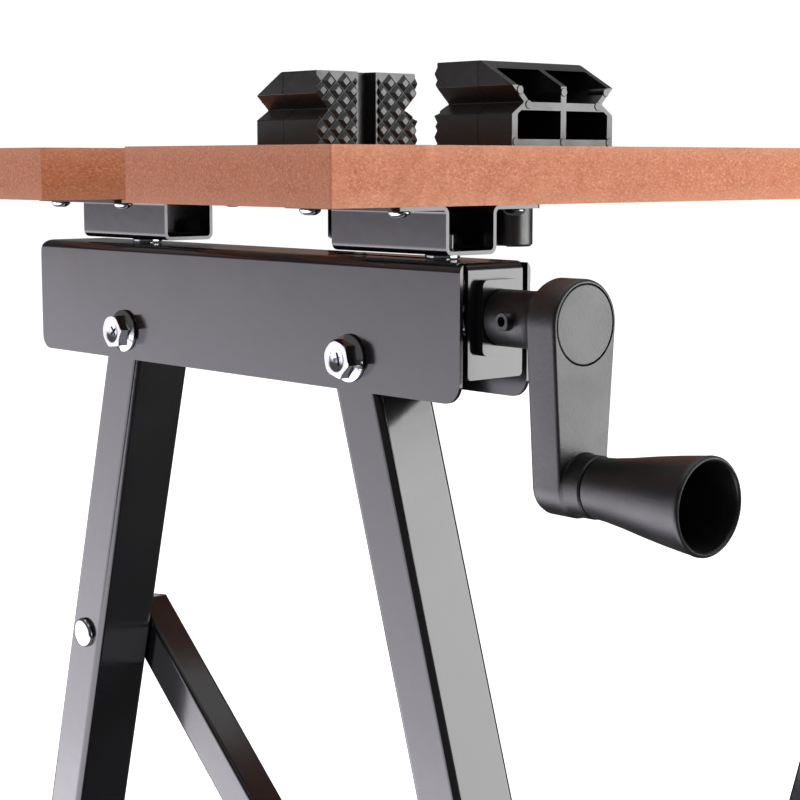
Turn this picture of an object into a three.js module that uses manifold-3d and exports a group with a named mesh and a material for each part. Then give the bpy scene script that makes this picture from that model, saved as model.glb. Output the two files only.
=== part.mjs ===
// Folding vice bench: two jaw boards on a pair of steel beams, two folding leg frames,
// a crank and screw at each side that move the front jaw, and four lift-out bench dogs.
// Millimetres, +Z up, +Y from the cranks towards the rear. The origin is on the floor,
// midway between the feet.
import * as THREE from "three";
import { mergeVertices } from "three/addons/utils/BufferGeometryUtils.js";
import Module from "manifold-3d";

const wasm = await Module();
wasm.setup();

// ---- Driving dimensions ----
const SEAT_GAP = 0.3; // between pieces that touch
const TURN_GAP = 0.1; // radial, between a shaft and the bore it turns in
const SHANK_GAP = 0.3; // radial, between a bolt and its hole
const SHAFT_SIDES = 20; // facets on shafts and the bores they turn in

const TOP_HEIGHT = 790; // floor to the work surface
const BOARD_LENGTH = 800;
const BOARD_DEPTH = 122;
const BOARD_THICKNESS = 21;
const BOARD_OVERHANG = 58; // past each beam's outer side
const JAW_GAP = 60; // between the jaws at rest

const BEAM_LENGTH = 282;
const BEAM_WIDTH = 35;
const BEAM_HEIGHT = 50;
const BEAM_WALL = 1.5;
const BEAM_BEND = 3.5; // outer bend radius
const BEAM_FRONT_CORNER = 8;
const BEAM_REAR_CORNER = 6;
const FLAP_BOTTOM = 41.5; // front end flap, below the beam's top
const FLAP_RELIEF = 2.5; // gap between the flap and each side wall

const BRACKET_RISE = 20; // beam top to board underside
const BRACKET_LIFT = 2; // beam top to bracket underside
const BRACKET_SHEET = 1.5;
const BRACKET_BEND = 3;
const BRACKET_CHANNEL = 25; // outer width of the hat's channel
const BRACKET_FLANGES = 73; // across both flanges
const BRACKET_LENGTH = 64;
const BRACKET_SCREWS_ACROSS = 57;
const BRACKET_SCREWS_ALONG = 50;
const BRACKET_SCREW_HOLE = 2.4;
const FRONT_BRACKET_Y = 44.6; // centre, from the beam's front end
const REAR_BRACKET_Y = 220.5;

const SCREW_DEPTH = 19.5; // spindle axis, below the beam's top
const SCREW_RADIUS = 5;
const SCREW_END = 112; // spindle's inner end, from the beam's front end
const SCREW_COLLAR = 8.5; // radius
const BEARING_WIDTH = 19;
const BEARING_HEIGHT = 27;
const BEARING_FLANGE = 3;
const BEARING_NECK = 7.2; // radius
const BEARING_NECK_END = 8;
const JAW_TRAVEL = 58;
const JAW_BOLT_Y = 28; // from the beam's front end
const JAW_BOLT_RADIUS = 3.2;
const NUT_WIDTH = 18;
const NUT_LENGTH = 16;
const NUT_BELOW = 6.5; // nut's underside, below the spindle axis
const NUT_ABOVE = 14;
const NUT_ROOF = 2; // metal between the bore and the bolt hole

const PIVOT_DEPTH = 37.7; // leg bolts, below the beam's top
const FRONT_PIVOT_Y = 60;
const REAR_PIVOT_Y = 213;
const BOLT_RADIUS = 4;
const BOLT_FLANGE = 9.1; // radius
const HEX_WIDTH = 13; // across flats
const HEAD_HEIGHT = 5.6;

const LEG_DEPTH = 24; // front to rear
const LEG_WIDTH = 28.5; // along X
const LEG_WALL = 1.5;
const LEG_CORNER = 3;
const LEG_SET_BACK = 5; // leg's centre line, behind its pivot
const LEG_TOP_RADIUS = 10.5; // above the pivot
const LEG_CLEVIS = 42; // rear wall cut away to pass the spindle nut, below the pivot
const FRONT_LEAN = 17.1; // degrees forward
const REAR_LEAN = 14.8; // degrees back
const FOOT_WALL = 2.5;
const FOOT_SOLE = 5;
const FOOT_HEIGHT = 46;
const CROSSBAR_SIZE = 20;
const CROSSBAR_WALL = 1.5;
const CROSSBAR_ALONG = 640; // pivot to crossbar, along the leg

const BRACE_PIVOT_ALONG = 150; // on the rear leg
const BRACE_SLOPE = 41.3; // degrees below level
const BRACE_DEPTH = 20;
const BRACE_WIDTH = 16;
const BRACE_WALL = 1.5;
const BRACE_END = 13; // past each pivot
const BRACE_END_CUT = 8;
const BRACE_SIDE_GAP = 0.4; // between brace and legs
const RIVET_RADIUS = 3;
const RIVET_HEAD = 6.85; // radius
const RIVET_HEAD_HEIGHT = 2;
const KNOB_RADIUS = 17;
const KNOB_HEIGHT = 15;
const KNOB_LOBES = 6;
const KNOB_STUD = 4; // radius

const HUB_RADIUS = 10.2;
const HUB_FRONT = 29; // hub's length ends here, before the beam's front end
const ARM_THICKNESS = 14.6;
const ARM_BOSS = 15.5; // radius at the spindle
const ARM_FOOT = 11.75; // radius at the grip
const CRANK_RADIUS = 55.1; // spindle axis to grip axis
const CAP_RADIUS = 13.9;
const CAP_DEPTH = 1.8;
const GRIP_COLLAR = 11; // radius
const GRIP_COLLAR_LENGTH = 7.6;
const GRIP_LENGTH = 47.2;
const GRIP_SMALL = 10.6; // radius
const GRIP_LARGE = 16.65; // radius
const GRIP_WALL = 2;
const GRIP_END_WALL = 10;
const AXLE_RADIUS = 4;
const AXLE_HEAD = 7;
const AXLE_HEAD_HEIGHT = 4;
const CRANK_PIN_RADIUS = 1.5;
const CRANK_PIN_BACK = 16; // before the beam's front end
const PIN_BOSS_RADIUS = 3.2;
const PIN_BOSS_RISE = 2.8; // out of the hub

const DOG_WIDTH = 60;
const DOG_LENGTH = 46.4;
const DOG_HEIGHT = 35.4;
const DOG_NOTCH_LOW = 13.4;
const DOG_NOTCH_MID = 18.1;
const DOG_NOTCH_HIGH = 24.9;
const DOG_NOTCH_DEPTH = 6.9;
const DOG_WALL = 3.5;
const DOG_RIB = 3.6;
const DOG_END_WALL = 12; // behind the knurled end
const DOG_SLOPE = 19; // how far the hollow end's top leans back
const DOG_SLOT_MOUTH = 12;
const DOG_SLOT_FLOOR = 8;
const DOG_SLOT_DEPTH = 8;
const DOG_PIN_RADIUS = 9.2;
const DOG_PIN_FLANGE = 4.8;
const DOG_PIN_WEB = 4;
const DOG_PIN_BELOW = 20.6; // below the board's underside
const DOG_PIN_OFFSET = 7; // pin axis from the dog's middle, towards the knurled end
const DOG_HOLE_GAP = 0.4; // radial
const DOG_HOLE_INSET = 25; // hole axis from the jaw's inner edge
const DOG_HOLES_X = [220.5, 73.5]; // from the middle of the bench; the outer ones hold dogs

// ---- Derived places ----
const BEAM_TOP = TOP_HEIGHT - BOARD_THICKNESS - BRACKET_RISE;
const BEAM_SPAN = BOARD_LENGTH / 2 - BOARD_OVERHANG; // middle of the bench to a beam's outer side
const MID = BEAM_WIDTH / 2;
const SCREW_Z = BEAM_TOP - SCREW_DEPTH;
const PIVOT_Z = BEAM_TOP - PIVOT_DEPTH;
const REAR_JAW_Y = BOARD_DEPTH + JAW_GAP;
const LEG_OUTER = (BEAM_WIDTH - LEG_WIDTH) / 2;
const LEG_INNER = LEG_OUTER + LEG_WIDTH;
const BRACE_OUTER = LEG_INNER + BRACE_SIDE_GAP;
const BRACE_INNER = BRACE_OUTER + BRACE_WIDTH;
const FLAT_RADIUS = HEX_WIDTH / Math.sqrt(3); // hexagon's corner radius

const radians = THREE.MathUtils.degToRad;
// A point on a leg, from its pivot: along the leg, and across it towards the rear.
function onLeg(pivotY, lean, along, across) {
  const a = radians(lean);
  return {
    y: pivotY + along * Math.sin(a) + across * Math.cos(a),
    z: PIVOT_Z - along * Math.cos(a) + across * Math.sin(a),
  };
}

const BRACE_TOP = onLeg(REAR_PIVOT_Y, REAR_LEAN, BRACE_PIVOT_ALONG, LEG_SET_BACK);
// The brace meets the front leg's centre line at its knob.
const braceDirection = { y: -Math.cos(radians(BRACE_SLOPE)), z: -Math.sin(radians(BRACE_SLOPE)) };
const legDirection = { y: -Math.sin(radians(FRONT_LEAN)), z: -Math.cos(radians(FRONT_LEAN)) };
const legStart = onLeg(FRONT_PIVOT_Y, -FRONT_LEAN, 0, LEG_SET_BACK);
const BRACE_LENGTH =
  ((legStart.y - BRACE_TOP.y) * legDirection.z - (legStart.z - BRACE_TOP.z) * legDirection.y) /
  (braceDirection.y * legDirection.z - braceDirection.z * legDirection.y);
const KNOB_AT = {
  y: BRACE_TOP.y + BRACE_LENGTH * braceDirection.y,
  z: BRACE_TOP.z + BRACE_LENGTH * braceDirection.z,
};

// ---- Materials ----
function finish(color, roughness, metalness) {
  return new THREE.MeshStandardMaterial({ color, roughness, metalness });
}
const BLACK_PAINT = finish(0x0c0c0d, 0.15, 0);
const FIBREBOARD = finish(0xb5704f, 0.75, 0);
const BRIGHT_ZINC = finish(0xc8cacc, 0.25, 1);
const CRANK_PLASTIC = finish(0x151516, 0.45, 0);
const DOG_PLASTIC = finish(0x1c1c1d, 0.4, 0);
const FOOT_RUBBER = finish(0x111111, 0.8, 0);

// ---- Solids ----
function solid(geometry) {
  const plain = geometry.index ? geometry.toNonIndexed() : geometry.clone();
  plain.deleteAttribute("normal");
  plain.deleteAttribute("uv");
  const merged = mergeVertices(plain, 1e-4);
  return new wasm.Manifold(
    new wasm.Mesh({
      numProp: 3,
      vertProperties: merged.attributes.position.array,
      triVerts: new Uint32Array(merged.index.array),
    }),
  );
}

function geometryOf(body) {
  const mesh = body.getMesh();
  const step = mesh.numProp;
  const positions = new Float32Array(mesh.numVert * 3);
  for (let i = 0; i < mesh.numVert; i++) {
    positions.set(mesh.vertProperties.subarray(i * step, i * step + 3), i * 3);
  }
  const geometry = new THREE.BufferGeometry();
  geometry.setAttribute("position", new THREE.BufferAttribute(positions, 3));
  geometry.setIndex(new THREE.BufferAttribute(mesh.triVerts, 1));
  const faceted = geometry.toNonIndexed();
  faceted.computeVertexNormals();
  return faceted;
}

function cut(body, ...tools) {
  return tools.reduce((left, tool) => left.subtract(tool), body);
}

function join(body, ...others) {
  return others.reduce((left, other) => left.add(other), body);
}

function block(x0, x1, y0, y1, z0, z1) {
  const geometry = new THREE.BoxGeometry(x1 - x0, y1 - y0, z1 - z0);
  return solid(geometry.translate((x0 + x1) / 2, (y0 + y1) / 2, (z0 + z1) / 2));
}

function extrude(shape, length, basis, curveSegments) {
  const geometry = new THREE.ExtrudeGeometry(shape, {
    depth: length,
    bevelEnabled: false,
    curveSegments,
  });
  return solid(geometry.applyMatrix4(basis));
}

const X = new THREE.Vector3(1, 0, 0);
const Y = new THREE.Vector3(0, 1, 0);
const Z = new THREE.Vector3(0, 0, 1);

// A shape drawn in Y and Z, from x0 to x1.
function alongX(shape, x0, x1, arcSteps = 3) {
  const basis = new THREE.Matrix4().makeBasis(Y, Z, X).setPosition(x0, 0, 0);
  return extrude(shape, x1 - x0, basis, arcSteps);
}

// A shape drawn in X and Z, from y0 to y1.
function alongY(shape, y0, y1, arcSteps = 3) {
  const basis = new THREE.Matrix4().makeBasis(X, Z, Y.clone().negate()).setPosition(0, y1, 0);
  return extrude(shape, y1 - y0, basis, arcSteps);
}

// A shape drawn in X and Y, from z0 to z1.
function alongZ(shape, z0, z1, arcSteps = 2) {
  return extrude(shape, z1 - z0, new THREE.Matrix4().setPosition(0, 0, z0), arcSteps);
}

function rodX(radius, x0, x1, y, z, sides = 16) {
  const geometry = new THREE.CylinderGeometry(radius, radius, x1 - x0, sides);
  return solid(geometry.rotateZ(-Math.PI / 2).translate((x0 + x1) / 2, y, z));
}

function rodY(radius, y0, y1, x, z, sides = 16) {
  const geometry = new THREE.CylinderGeometry(radius, radius, y1 - y0, sides);
  return solid(geometry.translate(x, (y0 + y1) / 2, z));
}

function rodZ(radius, z0, z1, x, y, sides = 16) {
  const geometry = new THREE.CylinderGeometry(radius, radius, z1 - z0, sides);
  return solid(geometry.rotateX(Math.PI / 2).translate(x, y, (z0 + z1) / 2));
}

function polygon(points) {
  return new THREE.Shape(points.map(([a, b]) => new THREE.Vector2(a, b)));
}

// A rectangle with one radius at its corners.
function roundedRectangle(Path, a0, a1, b0, b1, radius) {
  const path = new Path();
  path.moveTo(a0 + radius, b0);
  path.lineTo(a1 - radius, b0);
  path.absarc(a1 - radius, b0 + radius, radius, -Math.PI / 2, 0);
  path.lineTo(a1, b1 - radius);
  path.absarc(a1 - radius, b1 - radius, radius, 0, Math.PI / 2);
  path.lineTo(a0 + radius, b1);
  path.absarc(a0 + radius, b1 - radius, radius, Math.PI / 2, Math.PI);
  path.lineTo(a0, b0 + radius);
  path.absarc(a0 + radius, b0 + radius, radius, Math.PI, Math.PI * 1.5);
  return path;
}

// A rectangular tube's section, open at both ends once extruded.
function tubeSection(a0, a1, b0, b1, wall, radius) {
  const shape = roundedRectangle(THREE.Shape, a0, a1, b0, b1, radius);
  const inner = Math.max(radius - wall, radius / 4);
  shape.holes.push(roundedRectangle(THREE.Path, a0 + wall, a1 - wall, b0 + wall, b1 - wall, inner));
  return shape;
}

// A slot with round ends that runs along Y, from z0 to z1.
function slotAlongY(x, y0, y1, radius, z0, z1) {
  const middle = block(x - radius, x + radius, y0, y1, z0, z1);
  return join(middle, rodZ(radius, z0, z1, x, y0), rodZ(radius, z0, z1, x, y1));
}

// Turns a solid about X through a pivot: positive swings a hanging piece to the rear.
function lean(body, degrees, y, z) {
  return body.translate([0, -y, -z]).rotate([degrees, 0, 0]).translate([0, y, z]);
}

function hexagonX(x0, x1, y, z) {
  return rodX(FLAT_RADIUS, x0, x1, y, z, 6);
}

// ---- Frame pieces of one side: x runs inwards from the beam's outer side ----
function beamChannel() {
  const top = BEAM_TOP;
  const bottom = BEAM_TOP - BEAM_HEIGHT;
  const inner = BEAM_BEND - BEAM_WALL;
  const shape = new THREE.Shape();
  shape.moveTo(0, bottom);
  shape.lineTo(BEAM_WALL, bottom);
  shape.lineTo(BEAM_WALL, top - BEAM_BEND);
  shape.absarc(BEAM_BEND, top - BEAM_BEND, inner, Math.PI, Math.PI / 2, true);
  shape.lineTo(BEAM_WIDTH - BEAM_BEND, top - BEAM_WALL);
  shape.absarc(BEAM_WIDTH - BEAM_BEND, top - BEAM_BEND, inner, Math.PI / 2, 0, true);
  shape.lineTo(BEAM_WIDTH - BEAM_WALL, bottom);
  shape.lineTo(BEAM_WIDTH, bottom);
  shape.lineTo(BEAM_WIDTH, top - BEAM_BEND);
  shape.absarc(BEAM_WIDTH - BEAM_BEND, top - BEAM_BEND, BEAM_BEND, 0, Math.PI / 2);
  shape.lineTo(BEAM_BEND, top);
  shape.absarc(BEAM_BEND, top - BEAM_BEND, BEAM_BEND, Math.PI / 2, Math.PI);
  return alongY(shape, 0, BEAM_LENGTH);
}

function beamSideOutline() {
  const top = BEAM_TOP;
  const bottom = BEAM_TOP - BEAM_HEIGHT;
  const front = BEAM_FRONT_CORNER;
  const rear = BEAM_REAR_CORNER;
  const shape = new THREE.Shape();
  shape.moveTo(front, bottom);
  shape.lineTo(BEAM_LENGTH - rear, bottom);
  shape.absarc(BEAM_LENGTH - rear, bottom + rear, rear, -Math.PI / 2, 0);
  shape.lineTo(BEAM_LENGTH, top - rear);
  shape.absarc(BEAM_LENGTH - rear, top - rear, rear, 0, Math.PI / 2);
  shape.lineTo(0, top);
  shape.lineTo(0, bottom + front);
  shape.absarc(front, bottom + front, front, Math.PI, Math.PI * 1.5);
  return alongX(shape, 0, BEAM_WIDTH);
}

function beamFlap() {
  const top = BEAM_TOP;
  const inner = BEAM_BEND - BEAM_WALL;
  const root = BEAM_BEND + 2 * BEAM_WALL;
  const shape = new THREE.Shape();
  shape.moveTo(0, top - FLAP_BOTTOM);
  shape.lineTo(BEAM_WALL, top - FLAP_BOTTOM);
  shape.lineTo(BEAM_WALL, top - BEAM_BEND);
  shape.absarc(BEAM_BEND, top - BEAM_BEND, inner, Math.PI, Math.PI / 2, true);
  shape.lineTo(root, top - BEAM_WALL);
  shape.lineTo(root, top);
  shape.lineTo(BEAM_BEND, top);
  shape.absarc(BEAM_BEND, top - BEAM_BEND, BEAM_BEND, Math.PI / 2, Math.PI);
  const side = BEAM_WALL + FLAP_RELIEF;
  return alongX(shape, side, BEAM_WIDTH - side);
}

function beam() {
  const wide = BEAM_WIDTH + 1;
  const openFront = block(
    BEAM_WALL, BEAM_WIDTH - BEAM_WALL, -1, BEAM_BEND, BEAM_TOP - BEAM_BEND, BEAM_TOP + 1,
  );
  const shell = cut(beamChannel().intersect(beamSideOutline()), openFront);
  const holes = [FRONT_PIVOT_Y, REAR_PIVOT_Y].map((y) =>
    rodX(BOLT_RADIUS + SHANK_GAP, -1, wide, y, PIVOT_Z, 12),
  );
  const jawSlot = slotAlongY(
    MID, JAW_BOLT_Y, JAW_BOLT_Y + JAW_TRAVEL, JAW_BOLT_RADIUS + SHANK_GAP,
    BEAM_TOP - BEAM_BEND, BEAM_TOP + 1,
  );
  const rearHole = rodZ(
    JAW_BOLT_RADIUS + SHANK_GAP, BEAM_TOP - BEAM_BEND, BEAM_TOP + 1, MID, REAR_BRACKET_Y,
  );
  const bearingHole = rodY(BEARING_NECK + SHANK_GAP, -1, BEAM_BEND, MID, SCREW_Z);
  return cut(join(shell, beamFlap()), ...holes, jawSlot, rearHole, bearingHole);
}

function bracket(centreY) {
  const low = BEAM_TOP + BRACKET_LIFT;
  const high = BEAM_TOP + BRACKET_RISE - SEAT_GAP;
  const t = BRACKET_SHEET;
  const r = BRACKET_BEND;
  const flange = BRACKET_FLANGES / 2;
  const wall = BRACKET_CHANNEL / 2;
  const shape = new THREE.Shape();
  shape.moveTo(MID - flange, high);
  shape.lineTo(MID - flange, high - t);
  shape.lineTo(MID - wall - r + t, high - t);
  shape.absarc(MID - wall - r + t, high - r, r - t, Math.PI / 2, 0, true);
  shape.lineTo(MID - wall, low + r);
  shape.absarc(MID - wall + r, low + r, r, Math.PI, Math.PI * 1.5);
  shape.lineTo(MID + wall - r, low);
  shape.absarc(MID + wall - r, low + r, r, -Math.PI / 2, 0);
  shape.lineTo(MID + wall, high - r);
  shape.absarc(MID + wall + r - t, high - r, r - t, Math.PI, Math.PI / 2, true);
  shape.lineTo(MID + flange, high - t);
  shape.lineTo(MID + flange, high);
  shape.lineTo(MID + wall + r - t, high);
  shape.absarc(MID + wall + r - t, high - r, r, Math.PI / 2, Math.PI);
  shape.lineTo(MID + wall - t, low + r);
  shape.absarc(MID + wall - r, low + r, r - t, 0, -Math.PI / 2, true);
  shape.lineTo(MID - wall + r, low + t);
  shape.absarc(MID - wall + r, low + r, r - t, -Math.PI / 2, -Math.PI, true);
  shape.lineTo(MID - wall + t, high - r);
  shape.absarc(MID - wall - r + t, high - r, r, 0, Math.PI / 2);
  const sheet = alongY(shape, centreY - BRACKET_LENGTH / 2, centreY + BRACKET_LENGTH / 2);
  const holes = [];
  for (const across of [-1, 1]) {
    for (const along of [-1, 1]) {
      holes.push(
        rodZ(
          BRACKET_SCREW_HOLE, high - r, high + 1,
          MID + (across * BRACKET_SCREWS_ACROSS) / 2,
          centreY + (along * BRACKET_SCREWS_ALONG) / 2, 12,
        ),
      );
    }
  }
  return cut(sheet, ...holes);
}

function bracketWithBoltHole(centreY, boltY) {
  const low = BEAM_TOP + BRACKET_LIFT;
  const hole = rodZ(JAW_BOLT_RADIUS + SHANK_GAP, low - 1, low + BRACKET_BEND, MID, boltY);
  return cut(bracket(centreY), hole);
}

// A hex bolt through a bracket's channel, with a spacing collar between bracket and beam.
function bracketBolt(y, shankBottom, withNut) {
  const seat = BEAM_TOP + BRACKET_LIFT + BRACKET_SHEET + SEAT_GAP;
  const head = solid(
    new THREE.CylinderGeometry(FLAT_RADIUS, FLAT_RADIUS, HEAD_HEIGHT, 6)
      .rotateX(Math.PI / 2)
      .translate(MID, y, seat + HEAD_HEIGHT / 2),
  );
  const shank = rodZ(JAW_BOLT_RADIUS, shankBottom, seat + 1, MID, y);
  const collar = rodZ(HEX_WIDTH / 2, BEAM_TOP + SEAT_GAP, BEAM_TOP + BRACKET_LIFT - SEAT_GAP, MID, y);
  const bolt = join(head, shank, collar);
  if (!withNut) return bolt;
  const nutTop = BEAM_TOP - BEAM_WALL - SEAT_GAP;
  const nut = solid(
    new THREE.CylinderGeometry(FLAT_RADIUS, FLAT_RADIUS, HEAD_HEIGHT, 6)
      .rotateX(Math.PI / 2)
      .translate(MID, y, nutTop - HEAD_HEIGHT / 2),
  );
  return join(bolt, nut);
}

function spindleNut() {
  const nut = block(
    MID - NUT_WIDTH / 2, MID + NUT_WIDTH / 2,
    JAW_BOLT_Y - NUT_LENGTH / 2, JAW_BOLT_Y + NUT_LENGTH / 2,
    SCREW_Z - NUT_BELOW, SCREW_Z + NUT_ABOVE,
  );
  const bore = rodY(SCREW_RADIUS + TURN_GAP, 0, SCREW_END, MID, SCREW_Z, SHAFT_SIDES);
  const boltHole = rodZ(
    JAW_BOLT_RADIUS + SHANK_GAP, SCREW_Z + SCREW_RADIUS + NUT_ROOF, SCREW_Z + NUT_ABOVE + 1, MID, JAW_BOLT_Y,
  );
  return cut(nut, bore, boltHole);
}

function spindleBearing() {
  const front = -SEAT_GAP - BEARING_FLANGE;
  const flange = block(
    MID - BEARING_WIDTH / 2, MID + BEARING_WIDTH / 2, front, -SEAT_GAP,
    SCREW_Z - BEARING_HEIGHT / 2, SCREW_Z + BEARING_HEIGHT / 2,
  );
  const neck = rodY(BEARING_NECK, front + 1, BEARING_NECK_END, MID, SCREW_Z);
  const bore = rodY(SCREW_RADIUS + TURN_GAP, front - 1, BEARING_NECK_END + 1, MID, SCREW_Z, SHAFT_SIDES);
  return cut(join(flange, neck), bore);
}

function spindle() {
  const front = -HUB_FRONT - ARM_THICKNESS / 2;
  const collarAt = BEARING_NECK_END + SEAT_GAP;
  const rod = rodY(SCREW_RADIUS, front, SCREW_END, MID, SCREW_Z, SHAFT_SIDES);
  const collar = rodY(SCREW_COLLAR, collarAt, collarAt + 3, MID, SCREW_Z);
  const pinHole = rodX(CRANK_PIN_RADIUS + SHANK_GAP, 0, BEAM_WIDTH, -CRANK_PIN_BACK, SCREW_Z, 12);
  return cut(join(rod, collar), pinHole);
}

// ---- Crank ----
function armOutline() {
  const low = SCREW_Z - CRANK_RADIUS;
  const tilt = Math.asin((ARM_BOSS - ARM_FOOT) / CRANK_RADIUS);
  const shape = new THREE.Shape();
  shape.absarc(MID, SCREW_Z, ARM_BOSS, -tilt, Math.PI + tilt);
  shape.absarc(MID, low, ARM_FOOT, Math.PI + tilt, Math.PI * 2 - tilt);
  return shape;
}

const ARM_FRONT = -HUB_FRONT - ARM_THICKNESS;
const GRIP_Z = SCREW_Z - CRANK_RADIUS;
const GRIP_START = ARM_FRONT - GRIP_COLLAR_LENGTH - SEAT_GAP;

function crankArm() {
  const arm = alongY(armOutline(), ARM_FRONT, -HUB_FRONT, 14);
  const hubEnd = -2 * SEAT_GAP - BEARING_FLANGE;
  const hub = rodY(HUB_RADIUS, -HUB_FRONT - 1, hubEnd, MID, SCREW_Z, SHAFT_SIDES);
  const collar = rodY(GRIP_COLLAR, ARM_FRONT - GRIP_COLLAR_LENGTH, ARM_FRONT + 1, MID, GRIP_Z, SHAFT_SIDES);
  const pinBoss = rodX(PIN_BOSS_RADIUS, MID - HUB_RADIUS - PIN_BOSS_RISE, MID, -CRANK_PIN_BACK, SCREW_Z);
  const spindleBore = rodY(
    SCREW_RADIUS + SEAT_GAP, -HUB_FRONT - ARM_THICKNESS / 2 - SEAT_GAP, 1, MID, SCREW_Z, SHAFT_SIDES,
  );
  const capSeat = rodY(
    CAP_RADIUS + SEAT_GAP, ARM_FRONT - 1, ARM_FRONT + CAP_DEPTH + SEAT_GAP, MID, SCREW_Z, SHAFT_SIDES,
  );
  const pinHole = rodX(
    CRANK_PIN_RADIUS + SHANK_GAP, 0, MID + HUB_RADIUS + 1, -CRANK_PIN_BACK, SCREW_Z, 12,
  );
  const axleHole = rodY(
    AXLE_RADIUS + SEAT_GAP, ARM_FRONT - GRIP_COLLAR_LENGTH - 1, -HUB_FRONT - 3, MID, GRIP_Z,
  );
  return cut(join(arm, hub, collar, pinBoss), spindleBore, capSeat, pinHole, axleHole);
}

function crankCap() {
  return rodY(CAP_RADIUS, ARM_FRONT, ARM_FRONT + CAP_DEPTH, MID, SCREW_Z, SHAFT_SIDES);
}

function crankPin() {
  const half = HUB_RADIUS - 1.6;
  return rodX(CRANK_PIN_RADIUS, MID - half, MID + half, -CRANK_PIN_BACK, SCREW_Z, 12);
}

function gripAxle() {
  const headBack = GRIP_START - GRIP_END_WALL - SEAT_GAP;
  const shank = rodY(AXLE_RADIUS, headBack - 1, -HUB_FRONT - 3 - SEAT_GAP, MID, GRIP_Z, 24);
  const head = rodY(AXLE_HEAD, headBack - AXLE_HEAD_HEIGHT, headBack, MID, GRIP_Z, 24);
  return join(shank, head);
}

// The grip is turned about its own axle, so its profile is lathed: distance forward, radius.
function crankGrip() {
  const bore = AXLE_RADIUS + TURN_GAP;
  const inner = GRIP_SMALL - GRIP_WALL;
  const profile = [
    [bore, 0],
    [GRIP_SMALL, 0],
    [GRIP_SMALL + (GRIP_LARGE - GRIP_SMALL) * 0.35, GRIP_LENGTH * 0.4],
    [GRIP_LARGE - 0.6, GRIP_LENGTH - 3],
    [GRIP_LARGE, GRIP_LENGTH - 1.5],
    [GRIP_LARGE - 1, GRIP_LENGTH],
    [GRIP_LARGE - GRIP_WALL, GRIP_LENGTH - 0.6],
    [inner, GRIP_END_WALL],
    [bore, GRIP_END_WALL],
    [bore, 0],
  ].map(([r, y]) => new THREE.Vector2(r, y));
  const lathe = new THREE.LatheGeometry(profile, 24);
  return solid(lathe.rotateX(Math.PI).translate(MID, GRIP_START, GRIP_Z));
}

// ---- Legs ----
function leg(pivotY, degrees, clevis) {
  const front = pivotY - LEG_DEPTH / 2 + LEG_SET_BACK;
  const rear = front + LEG_DEPTH;
  const section = tubeSection(LEG_OUTER, LEG_INNER, front, rear, LEG_WALL, LEG_CORNER);
  const tube = alongZ(section, PIVOT_Z - TOP_HEIGHT * 1.2, PIVOT_Z + LEG_TOP_RADIUS);
  const roundTop = alongX(legSideOutline(pivotY, front, rear), LEG_OUTER - 1, LEG_INNER + 1);
  const bolt = rodX(BOLT_RADIUS + SHANK_GAP, 0, BEAM_WIDTH, pivotY, PIVOT_Z);
  let body = cut(tube.intersect(roundTop), bolt);
  if (clevis) {
    const side = LEG_OUTER + 2 * LEG_WALL;
    body = cut(
      body,
      block(
        side, LEG_INNER - 2 * LEG_WALL, pivotY, rear + 1,
        PIVOT_Z - LEG_CLEVIS, PIVOT_Z + LEG_TOP_RADIUS + 1,
      ),
    );
  }
  const swung = lean(body, degrees, pivotY, PIVOT_Z);
  const floor = FOOT_SOLE + SEAT_GAP;
  const below = block(-50, 100, -TOP_HEIGHT, TOP_HEIGHT * 2, -TOP_HEIGHT, floor);
  return cut(swung, below);
}

// The leg's side view: square at the bottom, rounded about the pivot at the top.
function legSideOutline(pivotY, front, rear) {
  const r = LEG_TOP_RADIUS;
  const shape = new THREE.Shape();
  shape.moveTo(front - 1, PIVOT_Z - TOP_HEIGHT * 1.3);
  shape.lineTo(rear + 1, PIVOT_Z - TOP_HEIGHT * 1.3);
  shape.lineTo(rear + 1, PIVOT_Z - r);
  shape.absarc(rear + 1 - r, PIVOT_Z, r, 0, Math.PI / 2);
  shape.lineTo(pivotY + 2, PIVOT_Z + r);
  shape.absarc(pivotY, PIVOT_Z, r, Math.PI / 2, Math.PI);
  shape.lineTo(front - 1, PIVOT_Z - r);
  return shape;
}

function frontLeg() {
  const studHole = rodX(KNOB_STUD + SHANK_GAP, MID, BEAM_WIDTH, KNOB_AT.y, KNOB_AT.z);
  return cut(leg(FRONT_PIVOT_Y, -FRONT_LEAN, true), studHole);
}

function rearLeg() {
  const rivetHole = rodX(RIVET_RADIUS + SHANK_GAP, 0, BEAM_WIDTH, BRACE_TOP.y, BRACE_TOP.z);
  return cut(leg(REAR_PIVOT_Y, REAR_LEAN, false), rivetHole);
}

// A moulded boot on a leg's end, with a flat sole on the floor.
function foot(pivotY, degrees) {
  const front = pivotY - LEG_DEPTH / 2 + LEG_SET_BACK;
  const w = FOOT_WALL + SEAT_GAP;
  const g = SEAT_GAP;
  const alongEnd = PIVOT_Z / Math.cos(radians(degrees));
  const top = PIVOT_Z - alongEnd + FOOT_HEIGHT;
  const bottom = PIVOT_Z - alongEnd - LEG_DEPTH;
  const outer = alongZ(
    roundedRectangle(
      THREE.Shape, LEG_OUTER - w, LEG_INNER + w, front - w, front + LEG_DEPTH + w, LEG_CORNER + w,
    ),
    bottom, top,
  );
  const pocket = alongZ(
    roundedRectangle(
      THREE.Shape, LEG_OUTER - g, LEG_INNER + g, front - g, front + LEG_DEPTH + g, LEG_CORNER,
    ),
    bottom - 1, top + 1,
  );
  const sole = block(-50, 100, -TOP_HEIGHT, TOP_HEIGHT * 2, -TOP_HEIGHT, 0);
  const aboveSole = block(-50, 100, -TOP_HEIGHT, TOP_HEIGHT * 2, FOOT_SOLE, TOP_HEIGHT);
  const boot = cut(lean(outer, degrees, pivotY, PIVOT_Z), sole);
  return cut(boot, lean(pocket, degrees, pivotY, PIVOT_Z).intersect(aboveSole));
}

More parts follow.
